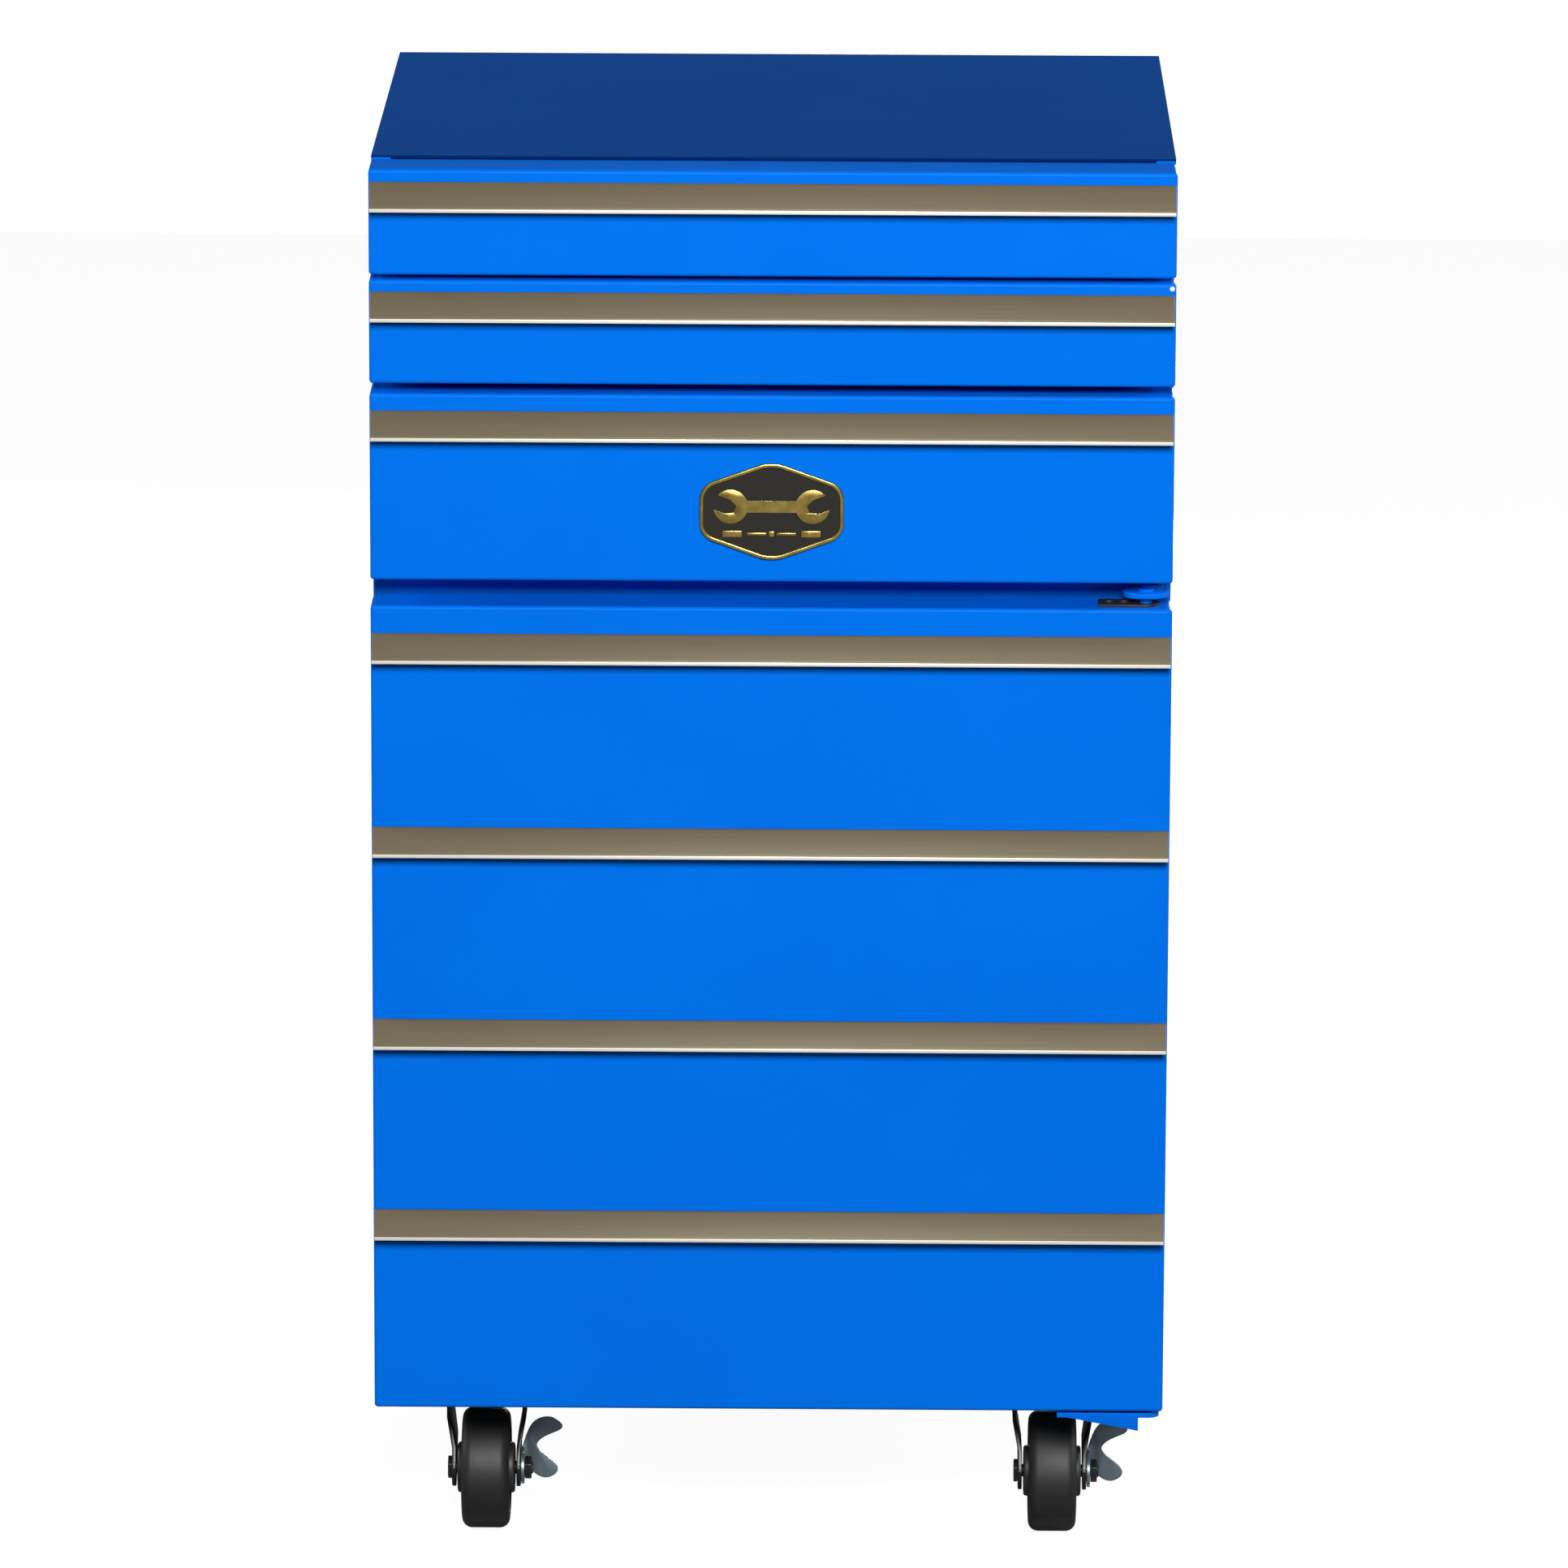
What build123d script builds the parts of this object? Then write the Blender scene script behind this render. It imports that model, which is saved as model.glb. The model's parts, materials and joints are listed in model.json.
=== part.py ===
"""Rolling tool chest: three drawers on ball-bearing slides over a refrigerated cupboard with one
swing door, on four swivel casters. Millimetres, +Z up, -Y towards the user, origin on the floor
under the middle of the chest's bounding box.
"""

import math
import os

from build123d import *

# Overall sizes
WIDTH = 490.0
HEIGHT = 880.0
CASE_DEPTH = 400.0  # steel case, without the drawer fronts and door
FRONT_DEPTH = 38.0  # drawer fronts and door stand this far in front of the case
SHEET = 1.2  # steel sheet of the case, fronts and trays
BASE_SHEET = 2.0
FIT = 0.1  # radial running clearance of pins and axles
SEAM = 0.2  # gap between sheets that meet edge to edge

# Fronts, from the top down
TOP_DROP = 2.0  # first front below the top surface
DRAWER_HEIGHTS = (65.0, 64.0, 116.0)
GAPS_BELOW = (3.0, 6.0, 16.0)
DOOR_LIFT = 2.0  # door's lower edge above the underside of the base
FRONT_GAP = 1.5  # between a closed drawer front and the case
FRONT_RADIUS = 2.2  # folded outer edges of fronts and door

# Pull rails
HANDLE_PROJECTION = 12.0
HANDLE_HEIGHT = 17.0
HANDLE_WALL = 1.6
HANDLE_LIP = 2.2  # height of the lip's front edge
HANDLE_LIP_STEP = 0.2  # inner side of the lip above its front edge
HANDLE_SHOULDER = 1.6  # level start of the pull at the face
HANDLE_BULGE = 1.1  # middle of the front outside the straight line
HANDLE_WALL_LEAN = 0.75  # share of the wall that the inner curve moves each way
HANDLE_ROOT = 0.8  # inner curve's end below the wall
HANDLE_FLANGE = 9.35  # height of the flange on the face
HANDLE_INSET = 1.0  # rail end inside the front's edge
HANDLE_DROPS = (7.5, 7.0, 10.5)  # rail below the top edge of each drawer front
DOOR_HANDLE_DROP = 17.0
DOOR_HANDLE_FOOT = 128.0  # lowest rail's top above the door's lower edge
DOOR_HANDLES = 4

# Case
FLANGE = 12.0  # folded edges of the side panels
BEND = 2.4  # outer radius of folded case edges
TOP_LIP = 16.0  # folded front and rear edges of the top
BASE_LIP = 22.0
DECK_LIFT = 5.0  # drawer deck above the top of the door
FRAME_OVERLAP = 2.0  # front frame above the third front's lower edge
MACHINE_BAY_SIDE = 45.0  # compressor's bay from each side of the case
MACHINE_BAY_DEPTH = 148.0
MACHINE_BAY_HEIGHT = 156.0

# Cold cabinet
WALL = 40.0  # foamed wall, outside of the case to inside of the liner
LINER = 2.0
LINER_RADIUS = 10.0
CELL_FLOOR = 42.0  # liner floor above the underside of the base
FOAM_LIFT = 10.0  # foam above the base, clear of the caster nuts
LEDGE = (7.0, 4.0)  # shelf runner: width and height
LEDGE_LEAD = 6.0  # runner in front of the shelf
SHELF_OVER_HUMP = 12.0  # lower ledge above the step over the compressor's bay
SHELF_SETBACK = 96.0  # front of the shelves behind the front of the case
SHELF_REAR_GAP = 8.0
SHELF_SIDE_GAP = 3.0
SHELF_FRAME_RADIUS = 2.5
SHELF_WIRE_RADIUS = 1.3
SHELF_WIRES = 15
EVAPORATOR_INSET = 55.0  # cold plate from the side walls of the liner
EVAPORATOR_SHEET = 3.0
EVAPORATOR_GAPS = (22.0, 65.0)  # plate above the lower ledge and below the liner's ceiling
THERMOSTAT = (38.0, 92.0, 58.0)  # width, depth and height of the control box
THERMOSTAT_SETBACK = 130.0
THERMOSTAT_DROP = 12.0
THERMOSTAT_OVER_SHELF = 14.0  # least room between the control box and the upper ledge
THERMOSTAT_CORNER = 4.0
KNOB_RADIUS = 15.0
KNOB_DEPTH = 13.0
KNOB_GAP = 0.5
KNOB_GRIP = 6.0
SPINDLE_RADIUS = 4.0
SPINDLE_LENGTH = 9.0

# Door
GASKET_DEPTH = 9.0  # door shell to the front of the case
DOOR_INSET = 0.1  # inner parts inside the door's folded rim
GASKET_INSET = 17.0
GASKET_WIDTH = 14.0
GASKET_GAP = 0.3
GASKET_FOOT = 2.0  # thickness of the part that grips the door liner
GASKET_NECK = 3.0  # narrow middle inside the foot's edges
GASKET_BEAD = 3.4  # thickness of the magnetic bead
GASKET_BEAD_INSET = 1.0
DYKE_INSET = 49.0  # raised rib of the door liner, from the door's side edges
DYKE_WIDTH = 12.0
DYKE_DEPTH = 34.0
DYKE_CORNER = 6.0
DYKE_END_INSET = 52.0
RACK_DEPTH = 79.0
RACK_WALL = 2.0
RACK_CORNER = 10.0
RACK_GAP = 0.5
RACK_HEIGHTS = (72.0, 58.0)
RACK_FOOT = 8.0  # lower rack above the door liner's lower rib

# Hinges
PIN_RADIUS = 4.0
PIN_SIDE = 16.0  # pin axis from the door's right edge
BUSH_BEHIND = 4.0  # bush in front of the door liner
PIN_ENGAGEMENT = 12.0
BUSH_RADIUS = 7.0
BUSH_END = 2.0  # closed end of the bush beyond the pin
BUSH_POCKET = 6.0  # pocket in the foam beyond the pin
BUSH_FLANGE_RADIUS = 9.0
BUSH_FLANGE = 1.5
BUSH_PLATE = 29.0  # upper bush's flange plate, from the pin axis
BUSH_SCREW_PITCH = 9.0
BUSH_SCREW_HEAD = 3.2
HINGE_PLATE = 3.0
HINGE_INSET = 2.0  # hinge plates from the right side of the chest
PIN_COLLAR = 1.5
UPPER_HINGE_LIFT = 5.5  # plate above the top of the door
UPPER_HINGE_WIDTH = 28.0
UPPER_HINGE_NOSE = 10.0  # plate in front of the pin axis, and its corner radius
LOWER_PLATE_WIDTH = 63.5
LOWER_SKIRT = (50.5, 11.5, 1.8)  # width, right and left height of the folded front skirt
LOWER_TAIL = (30.0, 68.0)  # width and length of the part screwed under the base
HINGE_SETBACK = 4.0  # hinge plates behind the door's face
SCREW_RADIUS = 2.0
SCREW_HEAD_RADIUS = 3.5
SCREW_HEAD = 2.2

# Drawers and slides
SLIDE_REAR_ROOM = 48.0  # rear end of the slides to the rear of the case
SLIDE_HEIGHT = 35.0
SLIDE_THICKNESS = 13.0
SLIDE_SETBACK = 2.0
SLIDE_SHEET = 1.2
OUTER_REACH = 9.0  # flanges of the outer member, from its web's outer face
MIDDLE_INSET = 2.4  # web of the middle member inside the outer member's
MIDDLE_REACH = 10.0
MIDDLE_NEST = 3.4  # flanges of the middle member inside the outer member's
MIDDLE_SHORT = 4.0
INNER_REACH = 7.0
INNER_NEST = 7.2
INNER_SHORT = 9.0
POST_SETBACKS = (3.0, 5.0)  # front posts behind the case's front, rear posts before the slides' ends
TRAY_LIFT = 6.0  # tray floor above the front's lower edge
TRAY_DROP = 18.0  # tray rim below the front's upper edge
TRAY_SHORT = 5.0  # tray's rear in front of the slides' rear ends
HEM = 8.0  # doubled rim of the tray
POST_DEPTH = 30.0

# Rear cover and mains inlet
LOUVRE = (68.0, 5.0)
LOUVRE_PITCH = 13.0
LOUVRE_GAP = 28.0  # between the columns of louvres
LOUVRE_LIFT = 42.0  # lowest louvre above the underside of the base
COVER_SCREWS = 4
INLET_FACE = (34.0, 26.0, 1.1)
INLET_BODY = (27.6, 19.6, 22.0)
INLET_SOCKET = (24.0, 16.5, 14.0)
INLET_SIDE = 22.0  # inlet from the left wall of the machine bay
INLET_PIN = 4.0
INLET_PIN_PITCH = 6.5
INLET_PIN_RISE = 4.0

# Compressor
COMPRESSOR_RADIUS = 55.0
COMPRESSOR_HEIGHT = 118.0
COMPRESSOR_DOME = 26.0  # rounding of the shell above and below
COMPRESSOR_FOOT = (150.0, 70.0, 2.5)
FOOT_LIFT = 9.0  # foot plate above the base, on its grommets
FOOT_HOLE_INSET = 12.0
GROMMET_RADIUS = 8.0
GROMMET_NECK = 4.0
STUB = (3.5, 14.0)  # radius of a tube stub and how far it stands out

# Badge
BADGE_WIDTH = 88.0
BADGE_HEIGHT = 63.0
BADGE_SIDE = 29.0  # straight vertical side
BADGE_CORNER = 8.0
BADGE_MITRE = 0.4  # share of an inset taken off the end of the straight sides
BADGE_PLATE = 1.6
BADGE_RIM = 2.6
BADGE_RIM_DEPTH = 2.6

# Casters
WHEEL_RADIUS = 38.0
TREAD_WIDTH = 30.0
TYRE_THICKNESS = 10.0
TYRE_SHOULDER = 6.5
HUB_PROUD = 3.0  # hub beyond the tread, each side
HUB_RADIUS = 16.0
AXLE_RADIUS = 4.0
CASTER_LEAD = 28.0  # wheel centre from the swivel axis
CASTER_SIDE = 67.0  # swivel axis from the side of the case
FRONT_CASTER_SETBACK = 62.0  # swivel axis behind the front of the case
REAR_CASTER_SETBACK = 68.0
FORK_SHEET = 2.5
FORK_GAP = 1.0  # between hub and fork leg
FORK_FLARE = 3.5
FORK_BOSS = 12.0
CROWN_GAP = 0.6
CROWN_TOP_DROP = 13.0  # top of the fork crown below the top of the plate
WHEEL_ROOM = 20.0  # top of the wheel to the underside of the base
CASTER_PLATE = (60.0, 90.0, 2.5)
CASTER_BOLTS = (44.0, 72.0)
CASTER_BOLT_RADIUS = 3.9
CASTER_HOLE_RADIUS = 4.25
KINGPIN_RADIUS = 5.0
KINGPIN_HEAD = (9.0, 2.5)  # radius and height of the riveted head
KINGPIN_DROP = 3.5  # head below the crown's sheet
CASTER_PLATE_CORNER = 7.0
SWIVEL_CUP = (19.0, 25.0)  # lower and upper radius
BOLT_ACROSS = 12.0
BOLT_HEAD = 4.5
BOLT_NUT = 5.0
BOLT_PROUD = 7.0  # bolt's end above the base
FORK_KNEE = 14.0  # start of the flare above the axle
FORK_SHOULDER = 13.0  # end of the flare below the crown
FORK_REACH = (24.0, 27.0)  # crown behind and before the kingpin
FORK_FOOT = 5.3  # flat lower edge of the legs below the axle
AXLE_ACROSS = 13.0
AXLE_HEAD = 2.5
AXLE_NUT = 4.0
AXLE_END = 5.0  # bolt's end outside the nut's inner face
AXLE_HEAD_GAP = 0.2
AXLE_NUT_GAPS = (0.3, 0.8)  # nut to the leg, and to a lever
RIM_THICKNESS = 4.0
RIM_INSET = 1.0
WEB_HALF = 4.0
HUB_CHAMFER = 1.0
TYRE_SEAT = 0.05
LEVER_HUB = 9.5
LEVER_GAP = 0.4  # lever to the leg
LEVER_TAB = 9.0  # foot tab before the axle
CUTTER = 60.0  # half length of bodies that only cut
LEVER_SHEET = 2.0

# Derived sizes and places
CASTER_HEIGHT = 2 * WHEEL_RADIUS + WHEEL_ROOM
HUB_WIDTH = TREAD_WIDTH + 2 * HUB_PROUD
FORK_HALF = HUB_WIDTH / 2 + FORK_GAP + FORK_SHEET
SLIDE_LENGTH = CASE_DEPTH - SLIDE_SETBACK - SLIDE_REAR_ROOM
TRAY_LENGTH = SLIDE_LENGTH - TRAY_SHORT
DOOR_SKIN_DEPTH = FRONT_DEPTH - GASKET_DEPTH
MACHINE_BAY_WIDTH = WIDTH - 2 * MACHINE_BAY_SIDE
DEPTH = HANDLE_PROJECTION + FRONT_DEPTH + CASE_DEPTH
BACK_Y = DEPTH / 2
CASE_Y = BACK_Y - CASE_DEPTH
FACE_Y = CASE_Y - FRONT_DEPTH
HALF = WIDTH / 2
INNER_HALF = HALF - SHEET
SHEET_HALF = HALF - BEND - DOOR_INSET  # sheets that lie inside the side panels' bends
BASE_Z = CASTER_HEIGHT
DOOR_BOTTOM = BASE_Z + DOOR_LIFT
SLIDE_OUTER = HALF - FLANGE
SLIDE_INNER = SLIDE_OUTER - SLIDE_THICKNESS
PIN_X = HALF - PIN_SIDE
PIN_Y = FACE_Y + DOOR_SKIN_DEPTH - LINER - BUSH_BEHIND - BUSH_RADIUS


def front_spans():
    """(lower, upper) edge of each drawer front, then the upper edge of the door."""
    spans, upper = [], HEIGHT - TOP_DROP
    for height, gap in zip(DRAWER_HEIGHTS, GAPS_BELOW):
        spans.append((upper - height, upper))
        upper -= height + gap
    return spans, upper


DRAWER_SPANS, DOOR_TOP = front_spans()
FRAME_TOP = DRAWER_SPANS[-1][0] + FRAME_OVERLAP
DECK_TOP = DOOR_TOP + DECK_LIFT
CELL_HALF = HALF - WALL
CELL_BOTTOM = BASE_Z + CELL_FLOOR
CELL_TOP = DECK_TOP - WALL - LINER
CELL_BACK = BACK_Y - WALL
BAY_TOP = BASE_Z + BASE_SHEET + MACHINE_BAY_HEIGHT
HUMP_Y = BACK_Y - MACHINE_BAY_DEPTH - WALL
HUMP_Z = BAY_TOP + WALL
LOWER_LEDGE = HUMP_Z + SHELF_OVER_HUMP
CONTROL_BOX_ROOM = THERMOSTAT_DROP + THERMOSTAT[2] + THERMOSTAT_OVER_SHELF
UPPER_LEDGE = min((LOWER_LEDGE + CELL_TOP) / 2, CELL_TOP - CONTROL_BOX_ROOM)
LEDGE_TOPS = (LOWER_LEDGE, UPPER_LEDGE)
RACK_FLOORS = (DOOR_BOTTOM + DYKE_END_INSET + DYKE_WIDTH + RACK_FOOT, (DOOR_BOTTOM + DOOR_TOP) / 2)
DOOR_RAIL_TOP = DOOR_TOP - DOOR_HANDLE_DROP
DOOR_RAIL_PITCH = (DOOR_RAIL_TOP - DOOR_BOTTOM - DOOR_HANDLE_FOOT) / (DOOR_HANDLES - 1)
CASTERS = {
    "front_left": (-1, -1),
    "front_right": (1, -1),
    "rear_left": (-1, 1),
    "rear_right": (1, 1),
}
BRAKED = ("front_left", "front_right")


# Small tools


def block(x0, x1, y0, y1, z0, z1):
    """A box between two corners."""
    return Pos((x0 + x1) / 2, (y0 + y1) / 2, (z0 + z1) / 2) * Box(x1 - x0, y1 - y0, z1 - z0)


def rod(x, y, z, radius, length, axis="Z"):
    """A cylinder that starts at a point and runs in the positive direction of an axis."""
    turn = {"X": (0, 90, 0), "Y": (-90, 0, 0), "Z": (0, 0, 0)}[axis]
    shape = Cylinder(radius, length, align=(Align.CENTER, Align.CENTER, Align.MIN))
    return Pos(x, y, z) * Rot(*turn) * shape


def hexagon(x, y, z, across, length, axis="Z"):
    """A hexagonal bar, for bolt heads and nuts."""
    turn = {"X": (0, 90, 0), "Y": (-90, 0, 0), "Z": (0, 0, 0)}[axis]
    return Pos(x, y, z) * Rot(*turn) * extrude(RegularPolygon(across / 2, 6, major_radius=False), length)


def outline(points):
    """A closed flat face through the points."""
    return make_face(Polyline(*points, close=True))


def along_x(face, x0, x1):
    """A face drawn as (y, z), pushed from x0 to x1."""
    return Pos(x0, 0, 0) * extrude(Plane.YZ * face, x1 - x0)


def along_y(face, y0, y1):
    """A face drawn as (x, z), pushed from y0 to y1."""
    return Pos(0, y1, 0) * extrude(Plane.XZ * face, y1 - y0)


def round_edges(shape, radius, test):
    """Rounds the edges whose middle point passes the test."""
    return fillet(shape.edges().filter_by(lambda e: test(e @ 0.5)), radius)


def near(a, b):
    return abs(a - b) < 0.01


def save(name, *shapes):
    """Writes one node's solids to parts/NAME.step."""
    solids = [s for shape in shapes for s in shape.solids()]
    shape = solids[0] if len(solids) == 1 else Compound(children=solids)
    export_step(shape, os.path.join("parts", name + ".step"))


# Case


def top_panel():
    """Top sheet with folded front and rear lips between the side panels' flanges."""
    shell = block(-HALF, HALF, CASE_Y, BACK_Y, HEIGHT - TOP_LIP, HEIGHT)
    shell = round_edges(
        shell, BEND, lambda p: near(p.Z, HEIGHT) and (near(p.Y, CASE_Y) or near(p.Y, BACK_Y))
    )
    core = block(
        -HALF, HALF, CASE_Y + SHEET, BACK_Y - SHEET, HEIGHT - TOP_LIP, HEIGHT - SHEET
    )
    core = round_edges(
        core,
        BEND - SHEET,
        lambda p: near(p.Z, HEIGHT - SHEET) and (near(p.Y, CASE_Y + SHEET) or near(p.Y, BACK_Y - SHEET)),
    )
    panel = shell - core
    lip_half = SLIDE_OUTER - SEAM
    for side in (-1, 1):
        x0, x1 = sorted((side * lip_half, side * HALF))
        panel -= block(x0, x1, CASE_Y - 1, BACK_Y + 1, HEIGHT - TOP_LIP - 1, HEIGHT - SHEET)
    return panel


def side_panel(side):
    """Side sheet with inward front and rear flanges, from the base to the top panel."""
    x0, x1 = sorted((side * (HALF - FLANGE), side * HALF))
    shell = block(x0, x1, CASE_Y, BACK_Y, BASE_Z, HEIGHT - SHEET)
    outer = side * HALF
    shell = round_edges(
        shell, BEND, lambda p: near(p.X, outer) and (near(p.Y, CASE_Y) or near(p.Y, BACK_Y))
    )
    x0, x1 = sorted((side * (HALF - FLANGE - 1), side * INNER_HALF))
    core = block(x0, x1, CASE_Y + SHEET, BACK_Y - SHEET, BASE_Z - 1, HEIGHT)
    inner = side * INNER_HALF
    core = round_edges(
        core,
        BEND - SHEET,
        lambda p: near(p.X, inner) and (near(p.Y, CASE_Y + SHEET) or near(p.Y, BACK_Y - SHEET)),
    )
    return shell - core


def back_panel():
    """Flat rear sheet above the machine bay, inside the side panels' rear flanges."""
    top = HEIGHT - BEND - SEAM
    return block(-SHEET_HALF, SHEET_HALF, BACK_Y - 2 * SHEET, BACK_Y - SHEET, BAY_TOP, top)


def rear_cover():
    """Removable louvred sheet over the machine bay, with the opening of the mains inlet."""
    y0, y1 = BACK_Y - 2 * SHEET, BACK_Y - SHEET
    cover = block(-SHEET_HALF, SHEET_HALF, y0, y1, BASE_Z + SEAM, BAY_TOP - SEAM)
    length, height = LOUVRE
    rows = int((BAY_TOP - BASE_Z - LOUVRE_LIFT - 2 * height) // LOUVRE_PITCH)
    for column in (-1, 0, 1):
        for row in range(rows):
            x = column * (length + LOUVRE_GAP)
            z = BASE_Z + LOUVRE_LIFT + row * LOUVRE_PITCH
            cover -= block(x - length / 2, x + length / 2, y0 - 1, y1 + 1, z, z + height)
    for x, z in cover_screw_places():
        cover -= rod(x, y0 - 1, z, SCREW_RADIUS + FIT, SHEET + 2, "Y")
    x, z = inlet_place()
    width, height = INLET_BODY[0] + 2 * SEAM, INLET_BODY[1] + 2 * SEAM
    return cover - block(x - width / 2, x + width / 2, y0 - 1, y1 + 1, z - height / 2, z + height / 2)


def cover_screw_places():
    """Screws that hold the rear cover to the base, as (x, z)."""
    pitch = WIDTH / (COVER_SCREWS + 1)
    return [(-HALF + (n + 1) * pitch, BASE_Z + BASE_LIP / 2) for n in range(COVER_SCREWS)]


def inlet_place():
    """Middle of the mains inlet on the rear cover."""
    return -MACHINE_BAY_WIDTH / 2 + INLET_SIDE, BASE_Z + BASE_LIP + INLET_FACE[1]


def power_inlet():
    """Three-pin mains inlet: bezel, body and pins in one moulding."""
    x, z = inlet_place()

    def layer(size, y0, y1):
        return block(x - size[0] / 2, x + size[0] / 2, y0, y1, z - size[1] / 2, z + size[1] / 2)

    face_y = BACK_Y - SHEET
    inlet = layer(INLET_FACE, face_y, face_y + INLET_FACE[2])
    inlet += layer(INLET_BODY, face_y - INLET_BODY[2], face_y + INLET_FACE[2])
    inlet -= layer(INLET_SOCKET, face_y + INLET_FACE[2] - INLET_SOCKET[2], BACK_Y + 1)
    for n in (-1, 0, 1):
        px = x + n * INLET_PIN_PITCH
        pz = z + (0.5 - abs(n)) * INLET_PIN_RISE
        half = INLET_PIN / 2
        y0, y1 = face_y - INLET_SOCKET[2], face_y - 2
        inlet += block(px - half / 2, px + half / 2, y0, y1, pz - half, pz + half)
    return inlet


def front_frame():
    """Flat ring that the door's gasket closes on, around the liner's mouth."""
    half = SLIDE_OUTER - SEAM
    ring = block(-half, half, CASE_Y, CASE_Y + SHEET, BASE_Z, FRAME_TOP)
    mouth = LINER + SEAM
    ring -= block(
        -CELL_HALF - mouth,
        CELL_HALF + mouth,
        CASE_Y - 1,
        CASE_Y + SHEET + 1,
        CELL_BOTTOM - mouth,
        CELL_TOP + mouth,
    )
    return ring


def bay_floor():
    """Steel deck between the drawers and the cold cabinet."""
    return block(
        -SHEET_HALF, SHEET_HALF, CASE_Y + BEND, BACK_Y - 2 * SHEET, DECK_TOP - SHEET, DECK_TOP
    )


def base_pan():
    """Folded base with the caster bolt holes."""
    y0, y1 = CASE_Y + BEND, BACK_Y - 2 * SHEET - SEAM
    pan = block(-SHEET_HALF, SHEET_HALF, y0, y1, BASE_Z, BASE_Z + BASE_LIP)
    pan -= block(
        -SHEET_HALF + BASE_SHEET,
        SHEET_HALF - BASE_SHEET,
        y0 + BASE_SHEET,
        y1 - BASE_SHEET,
        BASE_Z + BASE_SHEET,
        BASE_Z + BASE_LIP + 1,
    )
    for name in CASTERS:
        for x, y in bolt_places(name):
            pan -= rod(x, y, BASE_Z - 1, CASTER_HOLE_RADIUS, BASE_SHEET + 2)
    for x, y in lower_screw_places():
        pan -= rod(x, y, BASE_Z - 1, SCREW_RADIUS + FIT, BASE_SHEET + 2)
    for x, z in cover_screw_places():
        pan -= rod(x, y1 - BASE_SHEET - 1, z, SCREW_RADIUS + FIT, BASE_SHEET + 2, "Y")
    return pan


def cell_profile(grow):
    """Side outline of the cold cabinet, stepped over the machine bay, grown by the liner's thickness."""
    return outline(
        [
            (CASE_Y, CELL_BOTTOM - grow),
            (HUMP_Y + grow, CELL_BOTTOM - grow),
            (HUMP_Y + grow, HUMP_Z - grow),
            (CELL_BACK + grow, HUMP_Z - grow),
            (CELL_BACK + grow, CELL_TOP + grow),
            (CASE_Y, CELL_TOP + grow),
        ]
    )


def cell_solid(grow, radius):
    """The cabinet's space as a solid, rounded inside except at its mouth."""
    solid = along_x(cell_profile(grow), -CELL_HALF - grow, CELL_HALF + grow)
    return round_edges(solid, radius, lambda p: p.Y > CASE_Y + 0.01)


def cabinet_liner():
    """Moulded tub of the cold cabinet, and the shelf runners stuck to its side walls."""
    tub = cell_solid(LINER, LINER_RADIUS + LINER) - cell_solid(0, LINER_RADIUS)
    width, height = LEDGE
    y0, y1 = CASE_Y + SHELF_SETBACK - LEDGE_LEAD, CELL_BACK - LINER_RADIUS
    runners = []
    for top in LEDGE_TOPS:
        for side in (-1, 1):
            x0, x1 = sorted((side * (CELL_HALF - width), side * CELL_HALF))
            runners.append(block(x0, x1, y0, y1, top - height, top))
    return [tub, *runners]


def cabinet_insulation():
    """Foam between the case and the liner, cut out for the machine bay."""
    half = SHEET_HALF - BASE_SHEET - SEAM
    y0 = CASE_Y + BEND + BASE_SHEET + SEAM
    y1 = BACK_Y - 2 * SHEET - BASE_SHEET - 2 * SEAM
    foam = block(-half, half, y0, y1, BASE_Z + FOAM_LIFT, DECK_TOP - SHEET - SEAM)
    foam -= cell_solid(LINER + SEAM, LINER_RADIUS + LINER)
    foam -= block(
        -CELL_HALF - LINER - SEAM,
        CELL_HALF + LINER + SEAM,
        CASE_Y,
        y0 + 1,
        CELL_BOTTOM - LINER - SEAM,
        CELL_TOP + LINER + SEAM,
    )
    bay_half = MACHINE_BAY_WIDTH / 2
    foam -= block(-bay_half, bay_half, BACK_Y - MACHINE_BAY_DEPTH, BACK_Y, BASE_Z, BAY_TOP)
    return foam


def wire_shelf(ledge):
    """Welded wire shelf: a bent frame rod, two cross rods and the wires laid over them."""
    half = CELL_HALF - SHELF_SIDE_GAP
    y0, y1 = CASE_Y + SHELF_SETBACK, CELL_BACK - SHELF_REAR_GAP
    z = ledge + SHELF_FRAME_RADIUS
    width, depth = 2 * (half - SHELF_FRAME_RADIUS), y1 - y0 - 2 * SHELF_FRAME_RADIUS
    path = Pos(0, (y0 + y1) / 2, z) * RectangleRounded(width, depth, 14.0).wire()
    frame = sweep(Plane(origin=path @ 0, z_dir=path % 0) * Circle(SHELF_FRAME_RADIUS), path=path)
    sunk = 0.8  # weld depth of a wire in the rod under it
    wire_z = z + SHELF_FRAME_RADIUS + SHELF_WIRE_RADIUS - sunk
    for share in (1 / 3, 2 / 3):
        frame += rod(-width / 2, y0 + share * (y1 - y0), z, SHELF_WIRE_RADIUS * 1.4, width, "X")
    pitch = width / (SHELF_WIRES + 1)
    start = y0 + SHELF_FRAME_RADIUS
    for n in range(1, SHELF_WIRES + 1):
        frame += rod(-width / 2 + n * pitch, start, wire_z, SHELF_WIRE_RADIUS, depth, "Y")
    return frame


def evaporator_plate():
    """Cold plate on the rear wall of the cabinet."""
    half = CELL_HALF - EVAPORATOR_INSET
    z0, z1 = LEDGE_TOPS[0] + EVAPORATOR_GAPS[0], CELL_TOP - EVAPORATOR_GAPS[1]
    plate = block(-half, half, CELL_BACK - EVAPORATOR_SHEET, CELL_BACK, z0, z1)
    return round_edges(plate, LINER_RADIUS, lambda p: near(p.Y, CELL_BACK - EVAPORATOR_SHEET / 2))


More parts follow.
